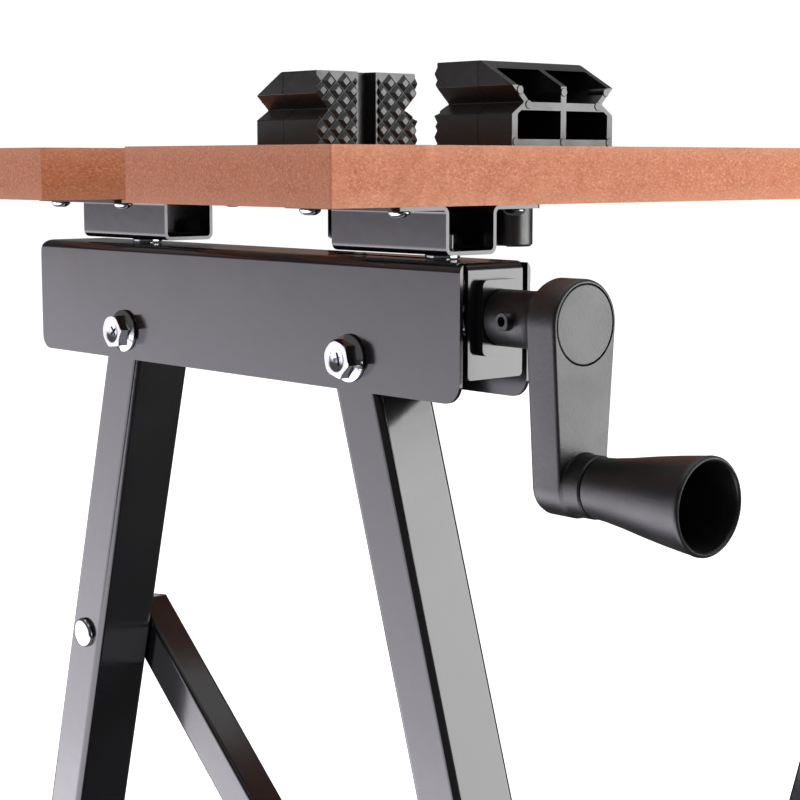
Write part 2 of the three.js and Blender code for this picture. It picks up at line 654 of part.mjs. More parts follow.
function footEdge(pivotY, degrees, side) {
  const across = LEG_SET_BACK + side * (LEG_DEPTH / 2 + FOOT_WALL + SEAT_GAP);
  const a = radians(degrees);
  const along = (PIVOT_Z + across * Math.sin(a)) / Math.cos(a);
  return onLeg(pivotY, degrees, along, across).y;
}

// Midway between the front and the rear soles.
const CENTRE_Y =
  (footEdge(FRONT_PIVOT_Y, -FRONT_LEAN, -1) + footEdge(REAR_PIVOT_Y, REAR_LEAN, 1)) / 2;

function legBolt(pivotY) {
  const seat = -SEAT_GAP;
  const flange = rodX(BOLT_FLANGE, seat - 1.8, seat, pivotY, PIVOT_Z, 20);
  const head = hexagonX(seat - HEAD_HEIGHT - 1.4, seat - 1, pivotY, PIVOT_Z);
  const recess = join(
    block(seat - 9, seat - HEAD_HEIGHT + 0.8, pivotY - 0.8, pivotY + 0.8, PIVOT_Z - 3, PIVOT_Z + 3),
    block(seat - 9, seat - HEAD_HEIGHT + 0.8, pivotY - 3, pivotY + 3, PIVOT_Z - 0.8, PIVOT_Z + 0.8),
  );
  const shank = rodX(BOLT_RADIUS, seat - 1, BEAM_WIDTH + SEAT_GAP + HEAD_HEIGHT + 4, pivotY, PIVOT_Z);
  return join(cut(join(flange, head), recess), shank);
}

function legNut(pivotY) {
  const seat = BEAM_WIDTH + SEAT_GAP;
  const flange = rodX(BOLT_FLANGE, seat, seat + 1.6, pivotY, PIVOT_Z, 20);
  const hex = hexagonX(seat + 1, seat + HEAD_HEIGHT + 2, pivotY, PIVOT_Z);
  const bore = rodX(BOLT_RADIUS + SHANK_GAP, seat - 1, seat + HEAD_HEIGHT + 4, pivotY, PIVOT_Z);
  return cut(join(flange, hex), bore);
}

// ---- Braces: drawn level along -Y from their top pivot, then sloped ----
function brace() {
  const y = BRACE_TOP.y;
  const z = BRACE_TOP.z;
  const half = BRACE_DEPTH / 2;
  const low = y - BRACE_LENGTH;
  const section = tubeSection(BRACE_OUTER, BRACE_INNER, z - half, z + half, BRACE_WALL, 2);
  const tube = alongY(section, low - BRACE_END, y + BRACE_END);
  const c = BRACE_END_CUT;
  const trim = polygon([
    [low - BRACE_END, z - half],
    [y + BRACE_END - c, z - half - 1],
    [y + BRACE_END, z - half + c],
    [y + BRACE_END, z + half - c],
    [y + BRACE_END - c, z + half + 1],
    [low - BRACE_END, z + half + 1],
  ]);
  // The lower end drops off its knob: an open notch, wider at its mouth.
  const r = KNOB_STUD + 2 * SHANK_GAP;
  const mouth = polygon([
    [low - r, z],
    [low + r, z],
    [low + r + half, z + half + 2],
    [low - r, z + half + 2],
  ]);
  const notch = join(
    alongX(mouth, BRACE_OUTER - 1, BRACE_INNER + 1),
    rodX(r, BRACE_OUTER - 1, BRACE_INNER + 1, low, z),
  );
  const rivetHole = rodX(RIVET_RADIUS + SHANK_GAP, BRACE_OUTER - 1, BRACE_INNER + 1, y, z);
  const level = cut(tube.intersect(alongX(trim, BRACE_OUTER - 1, BRACE_INNER + 1)), notch, rivetHole);
  return lean(level, BRACE_SLOPE, y, z);
}

function braceRivet() {
  const { y, z } = BRACE_TOP;
  const shank = rodX(RIVET_RADIUS, LEG_OUTER - SEAT_GAP - 1, BRACE_INNER + SEAT_GAP + 1, y, z);
  const outer = LEG_OUTER - SEAT_GAP;
  const inner = BRACE_INNER + SEAT_GAP;
  const heads = [
    rodX(RIVET_HEAD, outer - RIVET_HEAD_HEIGHT, outer, y, z),
    rodX(RIVET_HEAD - 1, inner, inner + RIVET_HEAD_HEIGHT, y, z),
  ];
  return join(shank, ...heads);
}

// Scalloped knob whose stud clamps the brace's notch to the front leg.
function lockingKnob() {
  const { y, z } = KNOB_AT;
  const back = BRACE_INNER + SEAT_GAP;
  const stud = rodX(KNOB_STUD, LEG_INNER - LEG_WALL, back + 1, y, z);
  const disc = rodX(KNOB_RADIUS, back, back + KNOB_HEIGHT, y, z, 24);
  const scallops = [];
  for (let i = 0; i < KNOB_LOBES; i++) {
    const a = (i / KNOB_LOBES) * Math.PI * 2;
    const out = KNOB_RADIUS + 2.5;
    scallops.push(
      rodX(5, back - 1, back + KNOB_HEIGHT + 1, y + out * Math.cos(a), z + out * Math.sin(a), 10),
    );
  }
  return join(cut(disc, ...scallops), stud);
}

// ---- Bench dogs: drawn with the hollow end at -Y, standing on z = 0 ----
function dogProfile(inset) {
  const half = DOG_WIDTH / 2 - inset;
  const waist = half - DOG_NOTCH_DEPTH;
  const right = [
    [half, inset],
    [half, DOG_NOTCH_LOW],
    [waist, DOG_NOTCH_MID],
    [half, DOG_NOTCH_HIGH],
    [half, DOG_HEIGHT - inset],
  ];
  const left = right.map(([x, z]) => [-x, z]).reverse();
  return polygon([...right, ...left]);
}

function dogPin() {
  const bottom = -BOARD_THICKNESS - DOG_PIN_BELOW - SEAT_GAP;
  const r = DOG_PIN_RADIUS;
  const pin = rodZ(r, bottom, 1, 0, DOG_PIN_OFFSET, 20);
  const web = DOG_PIN_WEB / 2;
  const flange = r - DOG_PIN_FLANGE;
  const y0 = DOG_PIN_OFFSET - flange;
  const y1 = DOG_PIN_OFFSET + flange;
  return cut(
    pin,
    block(web, r + 1, y0, y1, bottom - 1, -1),
    block(-r - 1, -web, y0, y1, bottom - 1, -1),
  );
}

function benchDog() {
  const half = DOG_LENGTH / 2;
  const solidEnd = half - DOG_END_WALL;
  const body = alongY(dogProfile(0), -half, half);
  const slope = polygon([
    [-half - 1, DOG_NOTCH_HIGH],
    [-half, DOG_NOTCH_HIGH],
    [-half + DOG_SLOPE, DOG_HEIGHT],
    [-half + DOG_SLOPE, DOG_HEIGHT + 1],
    [-half - 1, DOG_HEIGHT + 1],
  ]);
  const hollow = alongY(dogProfile(DOG_WALL), -half - 1, solidEnd);
  const rib = DOG_RIB / 2;
  const wide = DOG_WIDTH / 2;
  const ribs = join(
    block(-rib, rib, -half, solidEnd + 1, 0, DOG_HEIGHT),
    block(-wide, wide, -half, solidEnd + 1, DOG_NOTCH_MID - DOG_RIB, DOG_NOTCH_MID),
  );
  const m = DOG_SLOT_MOUTH / 2;
  const f = DOG_SLOT_FLOOR / 2;
  const slot = polygon([
    [-f, half - DOG_SLOT_DEPTH],
    [f, half - DOG_SLOT_DEPTH],
    [m, half + 0.01],
    [-m, half + 0.01],
  ]);
  const shell = cut(
    body, hollow.subtract(ribs), alongX(slope, -wide - 1, wide + 1),
    alongZ(slot, -1, DOG_HEIGHT + 1),
  );
  return join(shell, dogPin());
}

// ---- Across the bench ----
function jawBoard(y0) {
  const z0 = TOP_HEIGHT - BOARD_THICKNESS;
  const half = BOARD_LENGTH / 2;
  const inner = y0 === 0 ? BOARD_DEPTH - DOG_HOLE_INSET : y0 + DOG_HOLE_INSET;
  const holes = DOG_HOLES_X.flatMap((x) => [-x, x]).map((x) =>
    rodZ(DOG_PIN_RADIUS + DOG_HOLE_GAP, z0 - 1, TOP_HEIGHT + 1, x, inner, 24),
  );
  return cut(block(-half, half, y0, y0 + BOARD_DEPTH, z0, TOP_HEIGHT), ...holes);
}

function crossbar(pivotY, degrees) {
  const reach = BEAM_SPAN - LEG_INNER - SEAT_GAP;
  const y = pivotY + LEG_SET_BACK;
  const z = PIVOT_Z - CROSSBAR_ALONG;
  const half = CROSSBAR_SIZE / 2;
  const section = tubeSection(y - half, y + half, z - half, z + half, CROSSBAR_WALL, 2);
  return lean(alongX(section, -reach, reach), degrees, pivotY, PIVOT_Z);
}

// ---- Assembly ----
function mesh(name, body, material) {
  const piece = new THREE.Mesh(geometryOf(body), material);
  piece.name = name;
  return piece;
}

function jawBoards() {
  const group = new THREE.Group();
  group.add(mesh("front_jaw_board", jawBoard(0), FIBREBOARD));
  group.add(mesh("rear_jaw_board", jawBoard(REAR_JAW_Y), FIBREBOARD));
  return group;
}

function crossbars() {
  const group = new THREE.Group();
  group.add(mesh("front_crossbar", crossbar(FRONT_PIVOT_Y, -FRONT_LEAN), BLACK_PAINT));
  group.add(mesh("rear_crossbar", crossbar(REAR_PIVOT_Y, REAR_LEAN), BLACK_PAINT));
  return group;
}

// Everything that a side has, in coordinates that run inwards from its beam's outer side.
function sideAssembly(side) {
  const group = new THREE.Group();
  const add = (name, body, material) => group.add(mesh(side + "_" + name, body, material));
  add("beam", beam(), BLACK_PAINT);
  add("front_bracket", bracketWithBoltHole(FRONT_BRACKET_Y, JAW_BOLT_Y), BLACK_PAINT);
  add("rear_bracket", bracketWithBoltHole(REAR_BRACKET_Y, REAR_BRACKET_Y), BLACK_PAINT);
  const slideBoltEnd = SCREW_Z + SCREW_RADIUS + NUT_ROOF + SEAT_GAP;
  add("jaw_slide_bolt", bracketBolt(JAW_BOLT_Y, slideBoltEnd, false), BRIGHT_ZINC);
  add("rear_bracket_bolt", bracketBolt(REAR_BRACKET_Y, BEAM_TOP - 9, true), BRIGHT_ZINC);
  add("spindle_nut", spindleNut(), BRIGHT_ZINC);
  add("spindle_bearing", spindleBearing(), CRANK_PLASTIC);
  add("spindle", spindle(), BRIGHT_ZINC);
  add("crank_arm", crankArm(), CRANK_PLASTIC);
  add("crank_cap", crankCap(), CRANK_PLASTIC);
  add("crank_pin", crankPin(), BRIGHT_ZINC);
  add("grip_axle", gripAxle(), BRIGHT_ZINC);
  add("crank_grip", crankGrip(), CRANK_PLASTIC);
  add("front_leg", frontLeg(), BLACK_PAINT);
  add("rear_leg", rearLeg(), BLACK_PAINT);
  add("front_foot", foot(FRONT_PIVOT_Y, -FRONT_LEAN), FOOT_RUBBER);
  add("rear_foot", foot(REAR_PIVOT_Y, REAR_LEAN), FOOT_RUBBER);
  add("front_leg_bolt", legBolt(FRONT_PIVOT_Y), BRIGHT_ZINC);
  add("rear_leg_bolt", legBolt(REAR_PIVOT_Y), BRIGHT_ZINC);
  add("front_leg_nut", legNut(FRONT_PIVOT_Y), BRIGHT_ZINC);
  add("rear_leg_nut", legNut(REAR_PIVOT_Y), BRIGHT_ZINC);
  add("brace", brace(), BLACK_PAINT);
  add("brace_rivet", braceRivet(), BRIGHT_ZINC);
  add("locking_knob", lockingKnob(), CRANK_PLASTIC);
  return group;
}

// The dogs stand in the jaws' outer holes, knurled ends facing each other.
function benchDogs() {
  const group = new THREE.Group();
  const shape = benchDog();
  const x = DOG_HOLES_X[0];
  const frontHole = BOARD_DEPTH - DOG_HOLE_INSET;
  const rearHole = REAR_JAW_Y + DOG_HOLE_INSET;
  for (const [side, sign] of [["left", -1], ["right", 1]]) {
    const front = mesh("front_" + side + "_dog", shape, DOG_PLASTIC);
    front.position.set(sign * x, frontHole - DOG_PIN_OFFSET, TOP_HEIGHT + SEAT_GAP);
    const rear = mesh("rear_" + side + "_dog", shape, DOG_PLASTIC);
    rear.rotation.z = Math.PI;
    rear.position.set(sign * x, rearHole + DOG_PIN_OFFSET, TOP_HEIGHT + SEAT_GAP);
    group.add(front, rear);
  }
  return group;
}

const bench = new THREE.Group();
bench.name = "folding_vice_bench";
const left = sideAssembly("left");
left.position.x = -BEAM_SPAN;
const right = sideAssembly("right");
right.position.x = BEAM_SPAN;
right.scale.x = -1;
bench.add(jawBoards(), left, right, crossbars(), benchDogs());
bench.children.forEach((group) => group.translateY(-CENTRE_Y));

export default bench;
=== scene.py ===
"""Folding vice bench: fibreboard jaws on two steel beams, folding tube legs, cranks and bench dogs.

Shapes are drawn in millimetres and placed in the shared frame, which is in metres. A side's pieces
are drawn once: x runs inwards from the beam's outer side, y runs back from the beam's front end.
"""

import math

import bmesh
import bpy
from mathutils import Matrix, Vector


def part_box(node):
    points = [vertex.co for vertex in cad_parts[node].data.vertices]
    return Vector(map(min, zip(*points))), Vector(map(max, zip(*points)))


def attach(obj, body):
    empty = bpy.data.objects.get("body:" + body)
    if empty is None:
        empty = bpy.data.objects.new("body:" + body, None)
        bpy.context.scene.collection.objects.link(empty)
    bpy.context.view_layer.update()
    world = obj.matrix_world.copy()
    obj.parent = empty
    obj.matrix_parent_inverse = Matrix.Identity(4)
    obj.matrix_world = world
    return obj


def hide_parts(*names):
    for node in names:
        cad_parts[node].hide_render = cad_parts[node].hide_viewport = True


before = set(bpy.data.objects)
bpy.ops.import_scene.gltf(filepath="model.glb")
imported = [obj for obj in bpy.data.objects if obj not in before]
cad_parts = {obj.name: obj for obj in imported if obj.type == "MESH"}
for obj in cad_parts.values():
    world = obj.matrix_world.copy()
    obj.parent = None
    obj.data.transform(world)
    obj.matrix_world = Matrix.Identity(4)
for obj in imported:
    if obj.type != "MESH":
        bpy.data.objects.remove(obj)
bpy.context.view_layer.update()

MM = 0.001
TAU = 2 * math.pi

# ---- Sizes, in millimetres ----
BOARD_TOP = 790
BOARD_UNDER = 769
BEAM_TOP = 749
BEAM_LENGTH = 282
BEAM_WIDTH = 35
BEAM_HEIGHT = 50
BEAM_WALL = 1.5
BEAM_BEND = 3.5
FLAP_GAP = 4.0
FLAP_BOTTOM = 41.5
MID = BEAM_WIDTH / 2
SHEET = 1.5
BRACKET_LOW = BEAM_TOP + 2
BRACKET_HIGH = BOARD_UNDER - 0.3
BRACKETS_Y = {"front": 44.6, "rear": 220.5}
BRACKET_BOLTS_Y = {"front": 28, "rear": 220.5}
SCREWS_ACROSS = 28.5
SCREWS_ALONG = 25
SPINDLE_Z = 729.5
SPINDLE_END = 112
SPINDLE_RADIUS = 5.0
THREAD_PITCH = 4.0
THREAD_DEPTH = 0.8
HEX_ACROSS = 13
HEAD_TOP = 6.7
BOLT_RADIUS = 4
BOLT_HOLE = 4.3
RIVET_HOLE = 3.3
PIVOT_Z = 711.3
PIVOTS_Y = {"front": 60, "rear": 213}
LEANS = {"front": -17.1, "rear": 14.8}
LEG_OUTER = 3.25
LEG_INNER = 31.75
LEG_DEPTH = 24
LEG_SET_BACK = 5
LEG_LENGTH = 950
LEG_TOP_RADIUS = 10.5
CROSSBAR_DROP = 640
BAR_HALF = 10
BRACE_OUTER = 32.15
BRACE_INNER = 48.15
BRACE_SLOPE = 41.3
BRACE_LENGTH = 428.918
BRACE_TOP = (256.151, 567.554)
KNOB = (-66.079, 284.467)
ARM_FRONT = -43.6
ARM_BACK = -29
GRIP_Z = 674.4
GRIP_START = -51.5
ARM_TOP_RADIUS = 15.5
ARM_LOW_RADIUS = 11.75
PIN_Y = -16
PIN_HOLE = 1.8
DOG_HALF_LENGTH = 23.2
DOG_HALF_WIDTH = 30
DOG_HEIGHT = 35.4
DOG_WAIST = 6.9
DOG_HOLES_X = (-220.5, -73.5, 73.5, 220.5)
DOG_HOLES_IN = 25
KNURL_RISE = 1.6


# ---- Mesh building ----
def arc(u, v, radius, start, end, steps=8):
    """Points along an arc, angles in degrees."""
    angles = [math.radians(start + (end - start) * i / steps) for i in range(steps + 1)]
    return [(u + radius * math.cos(a), v + radius * math.sin(a)) for a in angles]


def rounded(u0, u1, v0, v1, radius, steps=6):
    """A rectangle's outline with round corners."""
    return (
        arc(u1 - radius, v0 + radius, radius, -90, 0, steps)
        + arc(u1 - radius, v1 - radius, radius, 0, 90, steps)
        + arc(u0 + radius, v1 - radius, radius, 90, 180, steps)
        + arc(u0 + radius, v0 + radius, radius, 180, 270, steps)
    )


def filleted(points, radius, steps=3):
    """A polygon's outline with every corner rounded."""
    outline = []
    for i, point in enumerate(points):
        here = Vector(point)
        before = (Vector(points[i - 1]) - here).normalized()
        after = (Vector(points[(i + 1) % len(points)]) - here).normalized()
        half = before.angle(after) / 2
        reach = radius / math.tan(half)
        start, end = here + before * reach, here + after * reach
        for k in range(steps + 1):
            t = k / steps
            p = start * (1 - t) ** 2 + here * 2 * t * (1 - t) + end * t**2
            outline.append((p.x, p.y))
    return outline


def ring(outline, at, axis):
    """An outline as 3-D points: drawn in Y and Z for x, in X and Z for y, in X and Y for z."""
    if axis == "x":
        return [Vector((at, u, v)) for u, v in outline]
    if axis == "y":
        return [Vector((u, at, v)) for u, v in outline]
    return [Vector((u, v, at)) for u, v in outline]


def loft(rings, closed=False):
    """A closed solid through rings of equal length; closed joins the last ring to the first."""
    count = len(rings[0])
    shape = bmesh.new()
    verts = [[shape.verts.new(p) for p in one] for one in rings]
    pairs = list(zip(verts, verts[1:] + ([verts[0]] if closed else [])))
    for a, b in pairs:
        for i in range(count):
            j = (i + 1) % count
            shape.faces.new((a[i], a[j], b[j], b[i]))
    if not closed:
        shape.faces.new(verts[0])
        shape.faces.new(verts[-1])
    bmesh.ops.remove_doubles(shape, verts=shape.verts, dist=1e-4)
    bmesh.ops.dissolve_degenerate(shape, edges=shape.edges, dist=1e-5)
    bmesh.ops.recalc_face_normals(shape, faces=shape.faces)
    mesh = bpy.data.meshes.new("shape")
    shape.to_mesh(mesh)
    shape.free()
    obj = bpy.data.objects.new("shape", mesh)
    bpy.context.scene.collection.objects.link(obj)
    return obj


def prism(outline, start, end, axis):
    return loft([ring(outline, start, axis), ring(outline, end, axis)])


def block(x0, x1, y0, y1, z0, z1):
    return prism([(x0, y0), (x1, y0), (x1, y1), (x0, y1)], z0, z1, "z")


def tube(outer, inner, start, end, axis):
    """An open tube between two outlines that have the same number of points."""
    order = [(outer, start), (outer, end), (inner, end), (inner, start)]
    return loft([ring(outline, at, axis) for outline, at in order], closed=True)


def lathe(profile, centre, axis, steps=64, closed=False):
    """Turns (along, radius) points about an axis through centre, given as the other two places."""
    u, v = centre
    rings = []
    for along, radius in profile:
        circle = [
            (u + radius * math.cos(TAU * i / steps), v + radius * math.sin(TAU * i / steps))
            for i in range(steps)
        ]
        rings.append(ring(circle, along, axis))
    return loft(rings, closed)


def rod(radius, start, end, centre, axis, chamfer=0.0, steps=48):
    """A cylinder, its ends chamfered."""
    c = min(chamfer, radius * 0.9)
    profile = [(start, radius - c), (start + c, radius), (end - c, radius), (end, radius - c)]
    return lathe(profile if c else [(start, radius), (end, radius)], centre, axis, steps)


def bake(obj):
    """Makes an object's modifiers part of its mesh."""
    bpy.context.view_layer.update()
    graph = bpy.context.evaluated_depsgraph_get()
    mesh = bpy.data.meshes.new_from_object(obj.evaluated_get(graph))
    before = obj.data
    obj.modifiers.clear()
    obj.data = mesh
    bpy.data.meshes.remove(before)
    return obj


def combine(body, operation, tools):
    for tool in tools:
        modifier = body.modifiers.new("combine", "BOOLEAN")
        modifier.operation = operation
        modifier.solver = "MANIFOLD"
        modifier.object = tool
    bake(body)
    for tool in tools:
        mesh = tool.data
        bpy.data.objects.remove(tool)
        bpy.data.meshes.remove(mesh)
    return body


def cut(body, *tools):
    return combine(body, "DIFFERENCE", tools)


def join(body, *tools):
    return combine(body, "UNION", tools)


def within(body, *tools):
    return combine(body, "INTERSECT", tools)


def turned(obj, matrix):
    obj.data.transform(matrix)
    if matrix.determinant() < 0:
        obj.data.flip_normals()
    return obj


def about_x(degrees, y, z):
    """A turn about X through a point; positive swings a hanging piece to the rear."""
    pivot = Matrix.Translation((0, y, z))
    return pivot @ Matrix.Rotation(math.radians(degrees), 4, "X") @ pivot.inverted()


def side_place(side):
    """From a side's drawing coordinates to the shared frame."""
    low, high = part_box(side + "_beam")
    x, mirror = (low.x, 1) if side == "left" else (high.x, -1)
    return Matrix.Translation((x, low.y, 0)) @ Matrix.Diagonal((mirror * MM, MM, MM, 1))


def bench_place():
    """For pieces drawn with x from the middle of the bench."""
    return Matrix.Translation((0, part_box("left_beam")[0].y, 0)) @ Matrix.Scale(MM, 4)


def softened(obj, width, segments=2):
    """Small rounded edges."""
    modifier = obj.modifiers.new("edges", "BEVEL")
    modifier.width = width
    modifier.segments = segments
    modifier.limit_method = "ANGLE"
    modifier.angle_limit = math.radians(33)
    modifier.use_clamp_overlap = True
    return bake(obj)


def finished(obj, node, body, slot, place, edge=0.35, segments=2, smooth=40, finish=None):
    """Softens a piece's edges, puts it in the shared frame and lets it stand for its CAD node."""
    if edge:
        softened(obj, edge, segments)
    turned(obj, place)
    obj.data.shade_smooth()
    obj.data.set_sharp_from_angle(angle=math.radians(smooth))
    weights = obj.modifiers.new("normals", "WEIGHTED_NORMAL")
    weights.keep_sharp = True
    weights.weight = 80
    bake(obj)
    obj.name = obj.data.name = node + "_piece"
    obj.data.materials.clear()
    obj.data.materials.append(FINISHES[finish or slot])
    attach(obj, body)
    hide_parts(node)
    return obj


def refined(node, body, slot, edge=0.4):
    """A plain CAD piece, copied, with its coplanar facets joined and its edges softened."""
    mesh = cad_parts[node].data.copy()
    shape = bmesh.new()
    shape.from_mesh(mesh)
    bmesh.ops.scale(shape, vec=(1000, 1000, 1000), verts=shape.verts)
    bmesh.ops.remove_doubles(shape, verts=shape.verts, dist=0.001)
    bmesh.ops.dissolve_limit(
        shape, angle_limit=math.radians(1), verts=shape.verts, edges=shape.edges
    )
    shape.to_mesh(mesh)
    shape.free()
    obj = bpy.data.objects.new(node, mesh)
    bpy.context.scene.collection.objects.link(obj)
    return finished(obj, node, body, slot, Matrix.Scale(MM, 4), edge)


# ---- Shader nodes ----
def add(tree, kind, inputs=None, **settings):
    """Adds a node; an input is a value, or a socket to link."""
    made = tree.nodes.new(kind)
    for key, value in settings.items():
        setattr(made, key, value)
    for key, value in (inputs or {}).items():
        if isinstance(value, bpy.types.NodeSocket):
            tree.links.new(value, made.inputs[key])
        else:
            made.inputs[key].default_value = value
    return made


def mixed(tree, factor, first, second):
    """A colour between two colours."""
    return add(
        tree, "ShaderNodeMix", {0: factor, 6: first, 7: second}, data_type="RGBA"
    ).outputs[2]


def ranged(tree, value, low, high, out_low=0.0, out_high=1.0):
    """A value moved from one range to another and held inside it."""
    return add(
        tree,
        "ShaderNodeMapRange",
        {"Value": value, "From Min": low, "From Max": high, "To Min": out_low, "To Max": out_high},
    ).outputs["Result"]


def noise(tree, vector, scale, detail=2.0, roughness=0.5):
    return add(
        tree,
        "ShaderNodeTexNoise",
        {"Vector": vector, "Scale": scale, "Detail": detail, "Roughness": roughness},
    ).outputs["Fac"]


def math_node(tree, operation, first, second=0.0):
    return add(tree, "ShaderNodeMath", {0: first, 1: second}, operation=operation).outputs[0]


def node_group(name, inputs, outputs):
    """A shader group with named sockets; returns the tree, its input node and its output node."""
    tree = bpy.data.node_groups.new(name, "ShaderNodeTree")
    for label, kind, value in inputs:
        socket = tree.interface.new_socket(label, in_out="INPUT", socket_type=kind)
        if value is not None:
            socket.default_value = value
    for label, kind in outputs:
        tree.interface.new_socket(label, in_out="OUTPUT", socket_type=kind)
    return tree, tree.nodes.new("NodeGroupInput"), tree.nodes.new("NodeGroupOutput")


FLOAT = "NodeSocketFloat"
COLOR = "NodeSocketColor"
VECTOR = "NodeSocketVector"


def uneven_surface_group():
    """Two sizes of shallow unevenness, as in sprayed paint or moulded plastic."""
    tree, given, out = node_group(
        "uneven_surface",
        [
            ("Broad Scale", FLOAT, 90.0),
            ("Fine Scale", FLOAT, 900.0),
            ("Fine Share", FLOAT, 0.3),
            ("Height", FLOAT, 0.00002),
        ],
        [("Normal", VECTOR)],
    )
    place = tree.nodes.new("ShaderNodeTexCoord").outputs["Object"]
    broad = noise(tree, place, given.outputs["Broad Scale"], 1.0)
    fine = noise(tree, place, given.outputs["Fine Scale"], 3.0)
    both = math_node(
        tree, "ADD", broad, math_node(tree, "MULTIPLY", fine, given.outputs["Fine Share"])
    )
    bump = add(
        tree,
        "ShaderNodeBump",
        {"Height": both, "Distance": given.outputs["Height"], "Strength": 1.0},
    )
    tree.links.new(bump.outputs["Normal"], out.inputs["Normal"])
    return tree


def mottle_group():
    """A value that wanders between two limits."""
    tree, given, out = node_group(
        "mottle", [("Low", FLOAT, 0.2), ("High", FLOAT, 0.3), ("Scale", FLOAT, 40.0)], [("Value", FLOAT)]
    )
    place = tree.nodes.new("ShaderNodeTexCoord").outputs["Object"]
    cloud = noise(tree, place, given.outputs["Scale"], 4.0, 0.6)
    value = ranged(tree, cloud, 0.3, 0.7, given.outputs["Low"], given.outputs["High"])
    tree.links.new(value, out.inputs["Value"])
    return tree


def dust_group():
    """Fine dust that lies mostly on what faces up."""
    tree, given, out = node_group(
        "dust",
        [
            ("Color", COLOR, (0.01, 0.01, 0.01, 1)),
            ("Dust Color", COLOR, (0.3, 0.24, 0.2, 1)),
            ("Amount", FLOAT, 0.2),
            ("Scale", FLOAT, 700.0),
        ],
        [("Color", COLOR), ("Mask", FLOAT)],
    )
    coordinates = tree.nodes.new("ShaderNodeTexCoord")
    up = add(tree, "ShaderNodeSeparateXYZ", {0: coordinates.outputs["Normal"]}).outputs["Z"]
    facing = ranged(tree, up, -0.2, 1.0, 0.12, 1.0)
    speck = ranged(tree, noise(tree, coordinates.outputs["Object"], given.outputs["Scale"], 4.0), 0.56, 0.72)
    patch = ranged(tree, noise(tree, coordinates.outputs["Object"], 14.0, 3.0), 0.35, 0.7)
    mask = math_node(tree, "MULTIPLY", math_node(tree, "MULTIPLY", facing, speck), patch)
    mask = math_node(tree, "MULTIPLY", mask, given.outputs["Amount"])
    tree.links.new(mask, out.inputs["Mask"])
    colour = mixed(tree, mask, given.outputs["Color"], given.outputs["Dust Color"])
    tree.links.new(colour, out.inputs["Color"])
    return tree


UNEVEN = uneven_surface_group()
MOTTLE = mottle_group()
DUST = dust_group()


def material(name):
    made = bpy.data.materials.new(name)
    made.use_nodes = True
    return made, made.node_tree, made.node_tree.nodes["Principled BSDF"]


def use(tree, group, **inputs):
    """Places a node group with its own values; spaces in names are written as underscores."""
    made = tree.nodes.new("ShaderNodeGroup")
    made.node_tree = group
    for key, value in inputs.items():
        made.inputs[key.replace("_", " ")].default_value = value
    return made


def coated(name, colour, gloss, relief, dust, metallic=0.0, specular=0.5):
    """A material from the shared effects: colour under dust, mottled gloss, uneven surface.

    gloss: lowest and highest roughness, scale of the mottling; relief: broad scale, fine scale,
    share of the fine one, height in metres; dust: amount, scale.
    """
    made, tree, shader = material(name)
    shader.inputs["Metallic"].default_value = metallic
    shader.inputs["Specular IOR Level"].default_value = specular
    amount, speck_scale = dust
    dusty = use(tree, DUST, Color=colour, Amount=amount, Scale=speck_scale)
    tree.links.new(dusty.outputs["Color"], shader.inputs["Base Color"])
    low, high, mottle_scale = gloss
    rough = use(tree, MOTTLE, Low=low, High=high, Scale=mottle_scale).outputs["Value"]
    duller = math_node(tree, "ADD", rough, math_node(tree, "MULTIPLY", dusty.outputs["Mask"], 0.4))
    tree.links.new(duller, shader.inputs["Roughness"])
    broad, fine, share, height = relief
    uneven = use(tree, UNEVEN, Broad_Scale=broad, Fine_Scale=fine, Fine_Share=share, Height=height)
    tree.links.new(uneven.outputs["Normal"], shader.inputs["Normal"])
    return made


def fibreboard():
    """Pressed wood fibre: short fibres and light flecks, denser towards both faces."""
    made, tree, shader = material("fibreboard")
    coordinates = tree.nodes.new("ShaderNodeTexCoord")
    place = coordinates.outputs["Object"]
    middle = (BOARD_TOP + BOARD_UNDER) / 2 * MM
    height = add(tree, "ShaderNodeSeparateXYZ", {0: place}).outputs["Z"]
    off_middle = math_node(tree, "ABSOLUTE", math_node(tree, "SUBTRACT", height, middle))
    skin = ranged(tree, off_middle, 0.0045, 0.0102)
    grains = []
    for turn, stretch in (((0.3, 0.5, 0.2), 0.55), ((1.1, 0.2, 0.9), 0.6), ((0.7, 1.2, 2.1), 0.65)):
        mapped = add(
            tree,
            "ShaderNodeMapping",
            {"Vector": place, "Rotation": turn, "Scale": (stretch, 1.0, 1.0)},
        ).outputs["Vector"]
        grains.append(noise(tree, mapped, 1150.0, 2.0, 0.6))
    longest = math_node(tree, "MAXIMUM", math_node(tree, "MAXIMUM", grains[0], grains[1]), grains[2])
    shortest = math_node(tree, "MINIMUM", math_node(tree, "MINIMUM", grains[0], grains[1]), grains[2])
    body = mixed(
        tree, ranged(tree, shortest, 0.26, 0.5), (0.29, 0.072, 0.028, 1), (0.53, 0.163, 0.066, 1)
    )
    fleck = ranged(tree, longest, 0.6, 0.74, 0.0, 0.6)
    body = mixed(tree, fleck, body, (0.78, 0.37, 0.2, 1))
    cloud = ranged(tree, noise(tree, place, 55.0, 3.0), 0.3, 0.7, 0.0, 0.35)
    body = mixed(tree, cloud, body, (0.56, 0.195, 0.086, 1))
    pale = mixed(tree, 0.5, body, (0.57, 0.25, 0.14, 1))
    body = mixed(tree, math_node(tree, "MULTIPLY", skin, 0.8), body, pale)
    tree.links.new(body, shader.inputs["Base Color"])
    shader.inputs["Specular IOR Level"].default_value = 0.3
    gloss = use(tree, MOTTLE, Low=0.55, High=0.75, Scale=180.0)
    tree.links.new(gloss.outputs["Value"], shader.inputs["Roughness"])
    rough = add(
        tree, "ShaderNodeBump", {"Height": longest, "Distance": 0.00012, "Strength": 0.8}
    )
    tree.links.new(rough.outputs["Normal"], shader.inputs["Normal"])
    return made


